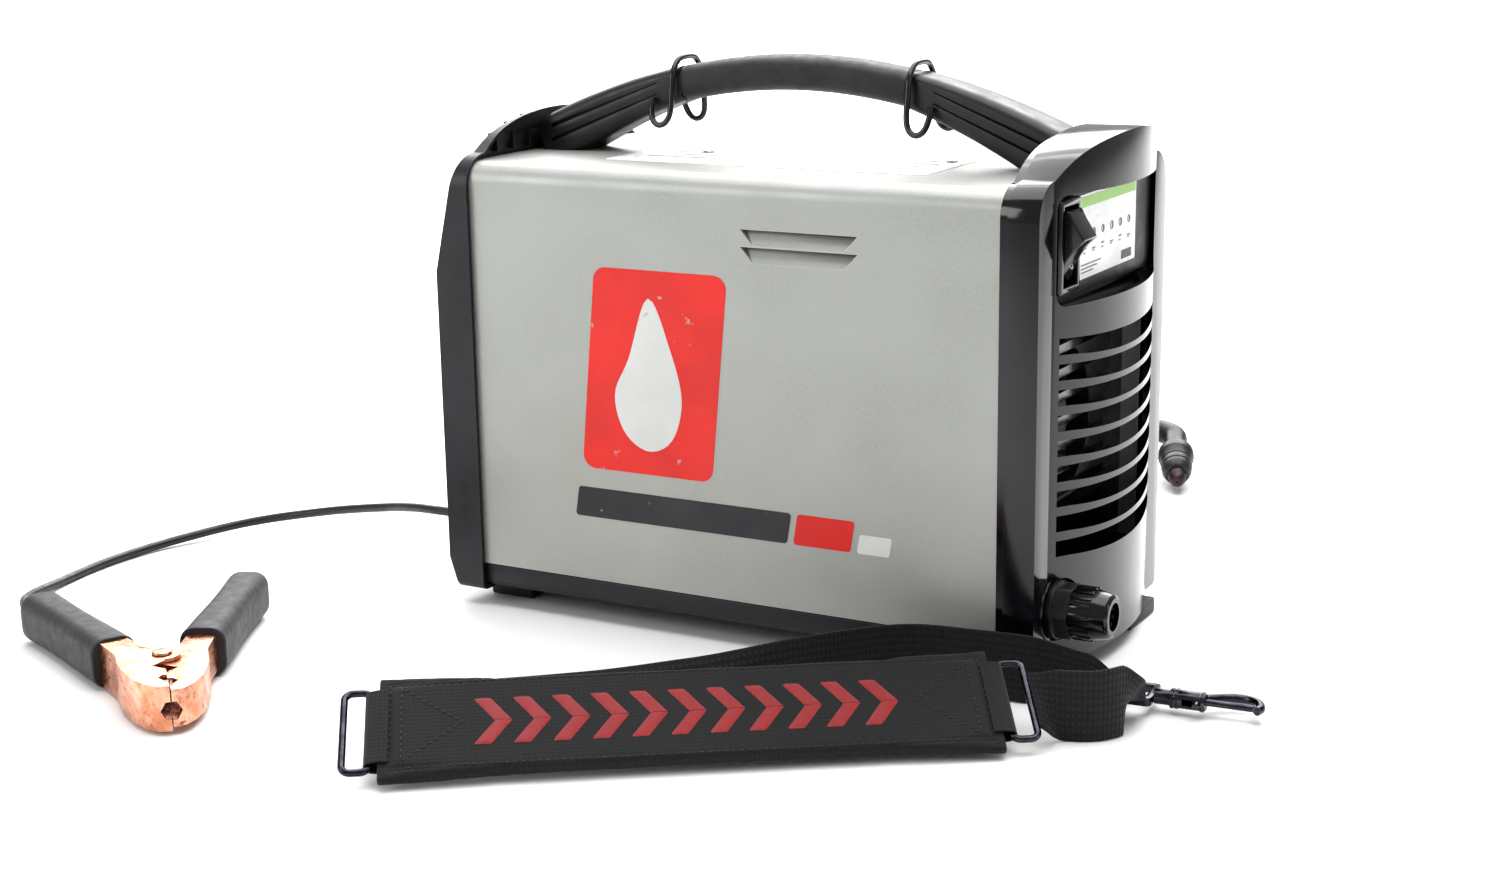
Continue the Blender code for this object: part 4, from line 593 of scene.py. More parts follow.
def lathe(name, profile, centre, axis, steps=48):
    """A closed profile of radius and height in millimetres, spun round an axis."""
    obj = primitive("circle", name, vertices=len(profile), radius=1)
    for vertex, (radius, height) in zip(obj.data.vertices, profile):
        vertex.co = (radius / 1000, 0, height / 1000)
    edit(obj)
    bpy.ops.mesh.spin(steps=steps, angle=math.tau, center=(0, 0, 0), axis=(0, 0, 1))
    leave()
    tidy_mesh(obj)
    turn = Vector((0, 0, 1)).rotation_difference(Vector(axis)).to_matrix().to_4x4()
    obj.data.transform(Matrix.Translation(centre) @ turn)
    return obj


def formed(name, along, around, place, capped=False):
    """A grid whose points are moved to place(u, v), both from 0 to 1. Edges that meet are merged."""
    obj = primitive("grid", name, x_subdivisions=along, y_subdivisions=around, size=1)
    for vertex in obj.data.vertices:
        vertex.co = place(vertex.co.x + 0.5, vertex.co.y + 0.5)
    return tidy_mesh(obj, capped)


def curve_point(p0, p1, p2, p3, t):
    """The point at share t from p1 to p2 on the smooth curve through four points."""
    return 0.5 * (
        2 * p1 + (p2 - p0) * t + (2 * p0 - 5 * p1 + 4 * p2 - p3) * t ** 2
        + (3 * p1 - p0 - 3 * p2 + p3) * t ** 3
    )


def smooth_line(points, spacing, cyclic=False):
    """Evenly spaced points on a smooth curve through a route's own points."""
    route = [Vector(p) for p in points]
    if cyclic:
        padded = [route[-1]] + route + [route[0], route[1]]
    else:
        padded = [route[0] * 2 - route[1]] + route + [route[-1] * 2 - route[-2]]
    dense = [padded[1]]
    for p0, p1, p2, p3 in zip(padded, padded[1:], padded[2:], padded[3:]):
        for k in range(1, 21):
            dense.append(curve_point(p0, p1, p2, p3, k / 20))
    lengths = [0.0]
    for first, second in zip(dense, dense[1:]):
        lengths.append(lengths[-1] + (second - first).length)
    count = max(2, round(lengths[-1] / spacing))
    even = []
    at = 0
    for k in range(count + (0 if cyclic else 1)):
        goal = lengths[-1] * k / count
        while at < len(lengths) - 2 and lengths[at + 1] < goal:
            at += 1
        share = (goal - lengths[at]) / max(lengths[at + 1] - lengths[at], 1e-9)
        even.append(dense[at].lerp(dense[at + 1], share))
    return even


def run_length(points):
    return sum((b - a).length for a, b in zip(points, points[1:]))


def cord_curve(name, points, radius, cyclic=False, roundness=5):
    data = bpy.data.curves.new(name, "CURVE")
    data.dimensions = "3D"
    data.bevel_depth = radius
    data.bevel_resolution = roundness
    data.use_fill_caps = not cyclic
    spline = data.splines.new("POLY")
    spline.points.add(len(points) - 1)
    for point, place in zip(spline.points, points):
        point.co = (*place, 1)
    spline.use_cyclic_u = cyclic
    spline.use_smooth = True
    obj = bpy.data.objects.new(name, data)
    bpy.context.scene.collection.objects.link(obj)
    return obj


def wire(name, points, radius, cyclic=False, roundness=5):
    """A bent wire as a mesh."""
    take(cord_curve(name, points, radius, cyclic, roundness))
    bpy.ops.object.convert(target="MESH")
    obj = bpy.context.active_object
    obj.name = obj.data.name = name
    tidy_mesh(obj)
    return smooth(obj, 50)


def combine(name, pieces):
    """Join several meshes into one object."""
    deselect()
    for part in pieces:
        part.select_set(True)
    bpy.context.view_layer.objects.active = pieces[0]
    if len(pieces) > 1:
        bpy.ops.object.join()
    obj = bpy.context.active_object
    obj.name = obj.data.name = name
    return obj


def carve(target, tool, operation="DIFFERENCE"):
    modify(target, "BOOLEAN", operation=operation, solver="EXACT", object=tool)
    bpy.data.objects.remove(tool, do_unlink=True)
    return target


def refined(node, name, width=0.4, segments=2, angle=30, shade=30, flat=0.6):
    """A merged copy of a CAD node with softened edges, where its shape is right already."""
    obj = bpy.data.objects.new(name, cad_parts[node].data.copy())
    bpy.context.scene.collection.objects.link(obj)
    take(obj)
    bpy.ops.mesh.customdata_custom_splitnormals_clear()
    edit(obj)
    bpy.ops.mesh.remove_doubles(threshold=0.00002)
    bpy.ops.mesh.dissolve_limited(angle_limit=math.radians(flat))
    leave()
    return soften(obj, width, segments, angle, shade) if width else smooth(obj, shade)


def show(obj, finish, body="machine", stands_for=()):
    """Give a finished piece its material and its body, and hide the CAD nodes that it stands for."""
    obj.data.materials.clear()
    obj.data.materials.append(FINISHES[finish].material)
    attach(obj, body)
    if stands_for:
        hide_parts(*stands_for)
    return obj


def arc(centre, radius, start, end, steps):
    angles = [math.radians(start + (end - start) * i / steps) for i in range(steps + 1)]
    return [(centre[0] + radius * math.cos(a), centre[1] + radius * math.sin(a)) for a in angles]


def rounded(corners, radii, steps=8):
    """The outline with each corner replaced by an arc of its own radius."""
    points = []
    for i, (corner, radius) in enumerate(zip(corners, radii)):
        here = Vector(corner)
        if radius <= 0:
            points.append(tuple(here))
            continue
        before = (Vector(corners[i - 1]) - here).normalized()
        after = (Vector(corners[(i + 1) % len(corners)]) - here).normalized()
        half = before.angle(after) / 2
        middle = here + (before + after).normalized() * (radius / math.sin(half))
        first = here + before * (radius / math.tan(half)) - middle
        last = here + after * (radius / math.tan(half)) - middle
        sweep = math.atan2(first.x * last.y - first.y * last.x, first.dot(last))
        for k in range(steps + 1):
            points.append(tuple(middle + Matrix.Rotation(sweep * k / steps, 2) @ first))
    return points


def rectangle(half_a, half_b, radius, centre=(0, 0), steps=6):
    a, b = centre
    corners = [
        (a - half_a, b - half_b), (a + half_a, b - half_b), (a + half_a, b + half_b), (a - half_a, b + half_b),
    ]
    return rounded(corners, [radius] * 4, steps) if radius else corners


# ---------------------------------------------------------------- camera, light and floor
CAMERA_PLACE = (0.6088, -1.1811, 0.4241)
CAMERA_YAW = math.radians(29.228)
CAMERA_PITCH = math.radians(13.766)
CAMERA_ROLL = math.radians(-0.871)
CAMERA_LENS = 54.51


def camera():
    data = bpy.data.cameras.new("view")
    data.lens = CAMERA_LENS
    data.sensor_width = 36
    data.clip_start = 0.05
    obj = bpy.data.objects.new("view", data)
    bpy.context.scene.collection.objects.link(obj)
    back = Vector((
        math.sin(CAMERA_YAW) * math.cos(CAMERA_PITCH), -math.cos(CAMERA_YAW) * math.cos(CAMERA_PITCH),
        math.sin(CAMERA_PITCH),
    ))
    level = Vector((math.cos(CAMERA_YAW), math.sin(CAMERA_YAW), 0))
    up = back.cross(level)
    right = level * math.cos(CAMERA_ROLL) + up * math.sin(CAMERA_ROLL)
    top = up * math.cos(CAMERA_ROLL) - level * math.sin(CAMERA_ROLL)
    turn = Matrix((right, top, back)).transposed()
    obj.matrix_world = Matrix.Translation(CAMERA_PLACE) @ turn.to_4x4()
    bpy.context.scene.camera = obj


def softbox(name, place, target, size, power):
    data = bpy.data.lights.new(name, "AREA")
    data.shape = "RECTANGLE"
    data.size, data.size_y = size
    data.energy = power
    obj = bpy.data.objects.new(name, data)
    bpy.context.scene.collection.objects.link(obj)
    obj.location = place
    obj.rotation_euler = (Vector(target) - Vector(place)).to_track_quat("-Z", "Y").to_euler()


def studio():
    world = bpy.data.worlds.new("studio_white")
    world.use_nodes = True
    sky = world.node_tree.nodes["Background"]
    sky.inputs["Color"].default_value = (1.0, 1.0, 1.0, 1.0)
    sky.inputs["Strength"].default_value = 0.42
    bpy.context.scene.world = world
    bpy.context.scene.view_settings.view_transform = "Standard"
    bpy.context.scene.view_settings.look = "Medium High Contrast"
    softbox("overhead_softbox", (0.0, 0.1, 1.9), (0, 0, 0), (2.4, 1.8), 40)
    softbox("backdrop_softbox", (-1.2, 2.6, 2.2), (-1.2, 2.4, 0), (4.5, 3.0), 120)
    softbox("far_backdrop_softbox", (-3.4, 6.5, 3.5), (-3.4, 6.4, 0), (9.0, 7.0), 620)
    softbox("front_left_softbox", (-1.3, -1.7, 1.0), (0, 0, 0.10), (1.0, 1.0), 12)
    softbox("right_strip", (1.6, 0.1, 0.6), (0.1, 0, 0.15), (0.25, 1.1), 2)
    floor = primitive("plane", "studio_floor", size=60)
    paper = bpy.data.materials.new("white_studio_paper")
    paper.use_nodes = True
    shader = paper.node_tree.nodes["Principled BSDF"]
    shader.inputs["Base Color"].default_value = colour("F4F4F4")
    shader.inputs["Roughness"].default_value = 0.9
    shader.inputs["Specular IOR Level"].default_value = 0.1
    floor.data.materials.append(paper)


camera()
studio()

# ---------------------------------------------------------------- leads
WORK_ROUTE = [
    (-0.2448, -0.05, 0.041), (-0.258, -0.0495, 0.0407), (-0.28, -0.043, 0.038), (-0.318, -0.029, 0.03),
    (-0.372, -0.022, 0.019), (-0.424, -0.04, 0.0095), (-0.452, -0.084, 0.0042), (-0.459, -0.135, 0.0032),
    (-0.453, -0.185, 0.0034), (-0.438, -0.225, 0.0075), (-0.4083, -0.2573, 0.015), (-0.3888, -0.2657, 0.015),
]
TORCH_IN = [
    (-0.2448, 0.05, 0.041), (-0.26, 0.0504, 0.0404), (-0.278, 0.056, 0.035), (-0.294, 0.072, 0.023),
    (-0.296, 0.098, 0.011), (-0.276, 0.13, 0.00585), (-0.244, 0.156, 0.00525), (-0.2165, 0.18126, 0.00525),
    (-0.213, 0.19526, 0.00525),
]
TORCH_OUT = [
    (-0.213, 0.27674, 0.02395), (-0.2115, 0.29474, 0.02295), (-0.2005, 0.32374, 0.02095),
    (-0.1765, 0.34774, 0.01795), (-0.1356, 0.3704, 0.0136), (-0.1068, 0.3749, 0.0159),
]
WORK_RADIUS = 0.0029
TORCH_RADIUS = 0.00475
COIL_CENTRE = (-0.135, 0.236)
COIL_RADII = (0.0585, 0.0680, 0.0775)
COIL_HEIGHTS = (0.00495, 0.01445, 0.02395)
COIL_CELLS = [(2, 0), (2, 1), (1, 1), (1, 0), (0, 0), (0, 1), (0, 2), (1, 2), (2, 2)]
COIL_STEPS = 72


def coil_points():
    """Nine turns laid three wide and three high, each moving to its next place over a short stretch."""
    points = []
    for turn, (column, layer) in enumerate(COIL_CELLS):
        last = turn == len(COIL_CELLS) - 1
        following = COIL_CELLS[turn] if last else COIL_CELLS[turn + 1]
        change = 0.9 - 0.1 * turn
        for step in range(COIL_STEPS):
            share = step / COIL_STEPS
            moved = min(1.0, max(0.0, (share - change + 0.04) / 0.08))
            moved = moved * moved * (3 - 2 * moved)
            radius = COIL_RADII[column] + (COIL_RADII[following[0]] - COIL_RADII[column]) * moved
            height = COIL_HEIGHTS[layer] + (COIL_HEIGHTS[following[1]] - COIL_HEIGHTS[layer]) * moved
            angle = math.pi - math.tau * share
            points.append(Vector((
                COIL_CENTRE[0] + radius * math.cos(angle), COIL_CENTRE[1] + radius * math.sin(angle), height,
            )))
    return points


def end_collar(name, line, radius):
    """The moulded collar where a lead enters the tool at its far end."""
    inner, outer = 1000 * radius + 0.1, 1000 * radius + 1.3
    profile = [(inner, 0.0), (outer - 0.5, 0.0), (outer, 0.6), (outer, 4.4), (outer - 0.5, 5.0), (inner, 5.0)]
    collar = lathe(name, profile, line[-3], line[-1] - line[-3], 32)
    show(smooth(collar), "rubber")


def leads():
    work = smooth_line(WORK_ROUTE, 0.004)
    lead = show(cord_curve("work_lead_cable", work, WORK_RADIUS), "jacket", "machine", ["work_lead"])
    end_collar("work_lead_collar", work, WORK_RADIUS)
    run_length(work)
    coil = coil_points()
    torch = smooth_line(TORCH_IN, 0.004) + coil[4:] + smooth_line([coil[-1]] + TORCH_OUT[1:], 0.004)[1:]
    lead = show(cord_curve("torch_lead_cable", torch, TORCH_RADIUS), "jacket", "machine",
                ["torch_lead", "torch_lead_coil", "torch_lead_end"])
    end_collar("torch_lead_collar", torch, TORCH_RADIUS)
    run_length(torch)


# ---------------------------------------------------------------- cover and base
LOUVRE_X = (-0.00325, 0.06875)
LOUVRE_TOPS = (0.2430, 0.2332)
LOUVRE_HEIGHT = 0.0085
LOUVRE_DEPTH = 0.005
LOUVRE_SLANT = 0.0075


def cover():
    """Folded sheet: a box without ends or bottom, its top edges bevelled, its louvres split and pressed in."""
    low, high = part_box("cover")
    size = high - low
    sheet = primitive("cube", "cover_sheet", size=1, location=(low + high) / 2, scale=size)
    shape = edit(sheet)
    bpy.ops.mesh.select_mode(type="FACE")
    for face in shape.faces:
        face.select_set(abs(face.normal.x) > 0.9 or face.normal.z < -0.9)
    bpy.ops.mesh.delete(type="FACE")
    bpy.ops.mesh.select_mode(type="EDGE")
    bpy.ops.mesh.select_all(action="DESELECT")
    shape = bmesh.from_edit_mesh(sheet.data)
    for edge in shape.edges:
        ends = [v.co for v in edge.verts]
        along = abs(ends[0].x - ends[1].x) > 0.1
        edge.select_set(along and ends[0].z > high.z - 0.001)
    bpy.ops.mesh.bevel(offset=0.012, segments=12, profile=0.5)
    cuts = [("X", x) for x in LOUVRE_X]
    cuts += [("Z", top - drop) for top in LOUVRE_TOPS for drop in (0.0, LOUVRE_HEIGHT)]
    for axis, at in cuts:
        bpy.ops.mesh.select_all(action="SELECT")
        normal = (1, 0, 0) if axis == "X" else (0, 0, 1)
        bpy.ops.mesh.bisect(plane_co=[n * at for n in normal], plane_no=normal)
    leave()
    press_louvres(sheet)
    modify(sheet, "SOLIDIFY", thickness=0.0012, offset=-1)
    soften(sheet, 0.35, 2, 40, 22)
    show(sheet, "powder", stands_for=["cover"])


def press_louvres(sheet):
    """Free each louvre's top edge from the slit over it and push it in, with slanted ends."""
    shape = bmesh.new()
    shape.from_mesh(sheet.data)
    for face in list(shape.faces):
        centre = face.calc_center_median()
        row = [top for top in LOUVRE_TOPS if top - LOUVRE_HEIGHT < centre.z < top]
        if not row or not LOUVRE_X[0] < centre.x < LOUVRE_X[1] or abs(centre.y) < COVER_HALF - 0.001:
            continue
        middle = sum(LOUVRE_X) / 2
        inward = -math.copysign(LOUVRE_DEPTH, centre.y)
        lower = [v for v in face.verts if v.co.z < centre.z]
        upper = [v for v in face.verts if v.co.z > centre.z]
        for vertex in lower:
            vertex.co.x += math.copysign(LOUVRE_SLANT, middle - vertex.co.x)
        pressed = []
        for vertex in upper:
            place = vertex.co + Vector((math.copysign(0.0012, middle - vertex.co.x), inward, 0))
            pressed.append(shape.verts.new(place))
        order = []
        for vertex in face.verts:
            order.append(pressed[upper.index(vertex)] if vertex in upper else vertex)
        shape.faces.remove(face)
        scoop = shape.faces.new(order)
        for vertex, inner in zip(upper, pressed):
            foot = min(lower, key=lambda v: abs(v.co.x - vertex.co.x))
            shape.faces.new((foot, vertex, inner))
        scoop.normal_update()
    bmesh.ops.recalc_face_normals(shape, faces=shape.faces)
    outward = sum(f.normal.z for f in shape.faces if f.calc_center_median().z > COVER_TOP - 0.001)
    if outward < 0:
        bmesh.ops.reverse_faces(shape, faces=shape.faces)
    shape.to_mesh(sheet.data)
    shape.free()


FILM = 0.0002               # thickness of the cut film
EMBLEM_X = (-0.112, -0.012)
EMBLEM_Z = (0.096, 0.216)
NAME_BAR = (-0.118, 0.024, 0.066, 0.084)


def cover_marks():
    """Generic cut-film marks where the cover carries its decoration: a flame on a panel over a plain bar."""
    film = -(COVER_HALF + 0.00022)
    left, right = EMBLEM_X
    low, high = EMBLEM_Z
    lean = 0.012
    corners = [(left, low), (right - lean, low), (right, high), (left + lean, high)]
    panel = plate("cover_red_panel", rounded(corners, [0.008] * 4), "Y", film, FILM)
    show(soften(panel, 0.05, 1, 60), "red_film")
    middle = (left + right) / 2
    flame = [
        (middle - 0.002, high - 0.016), (middle + 0.012, high - 0.045), (middle + 0.019, low + 0.046),
        (middle + 0.012, low + 0.022), (middle - 0.004, low + 0.014), (middle - 0.020, low + 0.024),
        (middle - 0.026, low + 0.046), (middle - 0.016, high - 0.052),
    ]
    line = [(p.x, p.y) for p in smooth_line([(x, z, 0) for x, z in flame], 0.004, cyclic=True)]
    show(plate("cover_pale_flame", line, "Y", film - 0.00018, FILM), "pale_film")
    x0, x1, z0, z1 = NAME_BAR
    bar = plate("cover_dark_bar", rounded([(x0, z0), (x1, z0), (x1 + 0.003, z1), (x0 + 0.003, z1)], [0.002] * 4),
                "Y", film, FILM)
    show(bar, "dark_film")
    tag = plate("cover_red_tag", rounded([
        (x1 + 0.004, z0), (x1 + 0.040, z0), (x1 + 0.043, z1), (x1 + 0.007, z1),
    ], [0.002] * 4), "Y", film, FILM)
    show(tag, "red_film")
    tag = plate("cover_pale_tag", rounded([
        (x1 + 0.044, z0), (x1 + 0.064, z0), (x1 + 0.066, z1 - 0.007), (x1 + 0.046, z1 - 0.007),
    ], [0.0015] * 4), "Y", film, FILM)
    show(tag, "pale_film")


def top_label():
    """The pale film sheet on the top of the cover, with plain printed rules and two sealing screws."""
    corners = [(-0.119, -0.052), (0.089, -0.052), (0.089, 0.064), (-0.119, 0.064)]
    sheet = plate("top_label_sheet", rounded(corners, [0.004] * 4), "Z", COVER_TOP + 0.00004, 0.00025)
    show(sheet, "film")
    rules = []
    for i in range(7):
        y = 0.050 - 0.0125 * i
        rules.append(block(f"rule_{i}", (0.060 - 0.007 * (i % 3), 0.0022, 0.0001),
                           (-0.074 + 0.002 * (i % 2), y, COVER_TOP + 0.00034)))
        rules.append(block(f"rule_right_{i}", (0.070 - 0.012 * (i % 2), 0.0018, 0.0001),
                           (0.040, y - 0.004, COVER_TOP + 0.00034)))
    show(combine("top_label_rules", rules), "grey_ink")
    for name, x, y in (("lead_end", -0.079, 0.003), ("switch_end", 0.0775, 0.010)):
        screw = lathe(f"cover_screw_{name}", [(0, 1.5), (1.6, 1.4), (3.0, 0.9), (3.5, 0.1), (3.5, 0), (0, 0)],
                      (x, y, COVER_TOP + 0.0003), (0, 0, 1), 32)
        carve(screw, primitive("cylinder", "socket", vertices=6, radius=0.0013, depth=0.004,
                               location=(x, y, COVER_TOP + 0.003)))
        show(smooth(screw), "steel")


def base():
    show(refined("base_pan", "base_tray", 0.8, 3, 30), "matte", stands_for=["base_pan"])
    for end in ("switch", "lead"):
        for side in ("near", "far"):
            node = f"foot_{end}_{side}"
            low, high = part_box(node)
            foot = block(f"{node}_pad", high - low, (low + high) / 2, bevel=1.6)
            for i in range(4):
                y = low.y + 0.0066 + 0.0096 * i
                carve(foot, primitive("cube", "tread", size=1, location=((low.x + high.x) / 2, y, low.z),
                                      scale=(0.05, 0.0022, 0.0012)))
            show(smooth(foot), "rubber", stands_for=[node])


# ---------------------------------------------------------------- end caps
def arch(inset=0.0):
    """The end caps' upright section: flat sides, rounded shoulders and an arched crown."""
    half = CAP_HALF - inset
    rise = CROWN_TOP - SHOULDER
    radius = (CAP_HALF ** 2 + rise ** 2) / (2 * rise) - inset
    middle = CROWN_TOP - inset - radius
    span = math.asin(half / radius)
    steps = 28
    crown = []
    for i in range(steps + 1):
        angle = span - 2 * span * i / steps
        crown.append((radius * math.sin(angle), middle + radius * math.cos(angle)))
    corners = [(-half, CAP_BOTTOM + inset), (half, CAP_BOTTOM + inset)] + [crown[0], crown[-1]]
    outline = rounded(corners, [0.005 - inset / 2] * 2 + [0.020 - inset] * 2, 10)
    limit = min(abs(outline[22][0]), abs(outline[32][0])) - 0.0005
    top = [point for point in crown if abs(point[0]) < limit]
    lift = (middle + math.sqrt(radius ** 2 - limit ** 2)) - max(outline[32][1], outline[33][1])
    blended = [(y, z - max(0.0, lift) * (abs(y) / limit) ** 6) for y, z in top]
    return outline[:33] + blended + outline[33:]


def bowed_plan(inset=0.0, back=0.0):
    """The switch cap from above: a flat rim with the bowed panel between."""
    bow = (PANEL_HALF ** 2 + BULGE ** 2) / (2 * BULGE)
    middle = SWITCH_RIM + BULGE - bow
    radius = bow - inset
    half = PANEL_HALF - inset
    span = math.degrees(math.asin(half / radius))
    wide = CAP_HALF + 0.02
    rim = SWITCH_RIM - inset
    curve = arc((middle, 0), radius, -span, span, 48)
    return [(back, -wide), (rim, -wide), (rim, -half)] + curve[1:-1] + [(rim, half), (rim, wide), (back, wide)]


WINDOW = (0.0765, 0.0295, 0.2385)       # half width, half height, middle height
SLOT_TOP = 0.1915
SLOT_PITCH = 0.0139
SLOT_HEIGHT = 0.0088
SLOT_HALF = 0.0735
SLOT_COUNT = 9


def switch_cap():
    """Glossy moulding: arched skirt, bowed panel with nine slots, and the window over them."""
    front = SWITCH_RIM + BULGE + 0.01
    cap = plate("switch_cap_moulding", arch(), "X", SWITCH_SKIRT, front - SWITCH_SKIRT)
    carve(cap, plate("plan", bowed_plan(0.0, SWITCH_SKIRT - 0.01), "Z", -0.01, 0.35), "INTERSECT")
    hollow = plate("hollow", arch(WALL), "X", SWITCH_SKIRT - 0.005, front - SWITCH_SKIRT + 0.005)
    carve(hollow, plate("plan", bowed_plan(WALL, SWITCH_SKIRT - 0.02), "Z", -0.01, 0.35), "INTERSECT")
    carve(cap, hollow)
    half_y, half_z, z = WINDOW
    floor = SWITCH_RIM - WALL
    around = rectangle(half_y + WALL - 0.0005, half_z + WALL, 0.009, (0, z))
    pocket = plate("pocket", around, "X", floor - WALL, 0.036)
    carve(pocket, plate("plan", bowed_plan(0.0004), "Z", -0.01, 0.35), "INTERSECT")
    carve(cap, pocket, "UNION")
    carve(cap, plate("window", rectangle(half_y, half_z, 0.0075, (0, z)), "X", floor, 0.04))
    low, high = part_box("switch_housing")
    carve(cap, block("switch_hole", (0.02, high.y - low.y - 0.003, high.z - low.z - 0.003),
                     (floor, (low.y + high.y) / 2, (low.z + high.z) / 2)))
    for i in range(SLOT_COUNT):
        carve(cap, slot_tool(SLOT_TOP - SLOT_PITCH * i))
    boss = primitive("cylinder", "boss", vertices=64, radius=0.0185, depth=0.012,
                     location=(GLAND.x - 0.006, GLAND.y, GLAND.z), rotation=(0, math.pi / 2, 0))
    carve(boss, plate("limit", arch(0.0005), "X", SWITCH_SKIRT, 0.06), "INTERSECT")
    carve(cap, boss, "UNION")
    for radius, start in ((0.0175, GLAND.x + 0.015), (0.0101, GLAND.x)):
        carve(cap, primitive("cylinder", "bore", vertices=64, radius=radius, depth=0.03,
                             location=(start, GLAND.y, GLAND.z), rotation=(0, math.pi / 2, 0)))
    tidy_mesh(cap)
    show(soften(cap, 0.7, 3, 32, 18), "gloss", stands_for=["switch_end_cap"])


def slot_tool(top):
    """One intake slot: level inside, flared down towards the front so that each bar has a sloping top."""
    bottom = top - SLOT_HEIGHT
    x0, x1 = 0.150, 0.200
    fall = math.tan(math.radians(12))
    outline = [
        (x0, bottom + (x0 - 0.181) * -fall), (0.181, bottom), (x1, bottom - 0.0075),
        (x1, top + (x1 - 0.181) * -fall), (x0, top + (x0 - 0.181) * -fall),
    ]
    return plate("slot", outline, "Y", -SLOT_HALF, 2 * SLOT_HALF)


def lead_cap():
    """Matte moulding: skirt, leaning end wall, the control panel's recess and ribs under the crown."""
    kink = COVER_TOP - 0.066
    side = [
        (LEAD_SKIRT, 0.0), (LEAD_FACE + 0.007, 0.0), (LEAD_FACE + 0.0055, 0.012), (LEAD_FACE, 0.029),
        (LEAD_FACE, kink), (LEAD_FACE + 0.0185, COVER_TOP + 0.013), (LEAD_SKIRT, CROWN_TOP + 0.004),
    ]
    cap = plate("lead_cap_moulding", arch(), "X", LEAD_FACE - 0.005, LEAD_SKIRT - LEAD_FACE + 0.005)
    carve(cap, plate("side", side, "Y", -0.11, 0.22), "INTERSECT")
    inner = [(x + WALL, z) for x, z in side]
    inner[0] = (LEAD_SKIRT + 0.02, inner[0][1])
    inner[-1] = (LEAD_SKIRT + 0.02, inner[-1][1])
    hollow = plate("hollow", arch(WALL), "X", LEAD_FACE - 0.005, LEAD_SKIRT - LEAD_FACE + 0.015)
    carve(hollow, plate("side", inner, "Y", -0.11, 0.22), "INTERSECT")
    carve(cap, hollow)
    frame_piece = plate("frame", rectangle(0.066, 0.044, 0.006, (0, PANEL_HEIGHT)), "X", LEAD_FACE, 0.014)
    carve(frame_piece, plate("side", side, "Y", -0.11, 0.22), "INTERSECT")
    carve(cap, frame_piece, "UNION")
    opening = rectangle(0.0635, 0.0415, 0.004, (0, PANEL_HEIGHT))
    carve(cap, plate("opening", opening, "X", LEAD_FACE - 0.025, 0.05))
    for y in (-0.062, -0.045, -0.028, 0.028, 0.045, 0.062):
        rib = block("rib", (0.016, 0.0018, 0.021), (LEAD_SKIRT - 0.0095, y, COVER_TOP + 0.0135))
        carve(rib, plate("limit", arch(0.0012), "X", LEAD_FACE + 0.016, 0.0075), "INTERSECT")
        carve(cap, rib, "UNION")
    for y in (-RELIEF_SIDE, RELIEF_SIDE):
        carve(cap, primitive("cylinder", "hole", vertices=48, radius=0.0081, depth=0.02,
                             location=(LEAD_FACE, y, RELIEF_HEIGHT), rotation=(0, math.pi / 2, 0)))
    tidy_mesh(cap)
    show(soften(cap, 0.6, 2, 32, 18), "matte", stands_for=["lead_end_cap"])


# ---------------------------------------------------------------- handle
def arch_z(x):
    return HANDLE_TOP - ARCH_DROP * (x - MIDDLE) ** 2


def handle_bar(name, x0, x1, half_width, height, corner, steps):
    """A length of the arched handle with a rounded section, its size given along X."""
    section = rectangle(1, 1, corner, steps=6)
    count = len(section)

    def place(u, v):
        x = x0 + (x1 - x0) * u
        a, b = section[round(v * count) % count]
        wide, tall = half_width(x), height(x)
        slope = math.atan(-2 * ARCH_DROP * (x - MIDDLE))
        lift = tall / 2 * b
        centre = arch_z(x) - tall / 2
        return (x - math.sin(slope) * lift * 0.6, wide * a, max(centre + lift, COVER_TOP + 0.0003))

    return formed(name, steps, count, place, capped=True)


def handle():
    grip = handle_bar("handle_rubber_grip", MIDDLE - GRIP_HALF, MIDDLE + GRIP_HALF, lambda x: 0.0145,
                      lambda x: HANDLE_TALL, 0.72, 60)
    show(soften(grip, 1.2, 3, 50, 40), "rubber", stands_for=["handle_grip"])

    def height(x):
        return HANDLE_TALL + HANDLE_FLARE * max(0.0, abs(x - MIDDLE) - GRIP_HALF)

    ends = []
    for start, end in ((MIDDLE - GRIP_HALF - 0.0003, LEAD_SKIRT + 0.001), (MIDDLE + GRIP_HALF + 0.0003, 0.163)):
        span = end - start

        def half_width(x, start=start, span=span):
            return 0.0135 + 0.0055 * abs((x - start) / span)

        arm = handle_bar("arm", start, end, half_width, height, 0.45, 40)
        for side in (-1, 1):
            groove = [start + span * share for share in (0.16, 0.93)]
            for i, (upper, lower) in enumerate(((0.0060, 0.0085), (0.0125, 0.0150))):
                first, last = groove
                tool = plate("groove", [
                    (first, arch_z(first) - upper), (last, arch_z(last) - upper - 0.002 * i),
                    (last, arch_z(last) - lower - 0.002 * i), (first, arch_z(first) - upper - 0.0008),
                ], "Y", 0.0128 if side > 0 else -0.030, 0.0172)
                carve(arm, tool)
        ends.append(arm)
    arms = combine("handle_moulded_arms", ends)
    show(soften(arms, 0.6, 2, 40, 30), "matte", stands_for=["handle_core"])
    screw = lathe("handle_screw_cover", [(0, 1.4), (2.6, 1.2), (3.4, 0.6), (3.6, 0), (3.6, -1.5), (0, -1.5)],
                  (0.137, 0, arch_z(0.137) - 0.0004), (0.42, 0, 1), 32)
    show(smooth(screw), "matte")


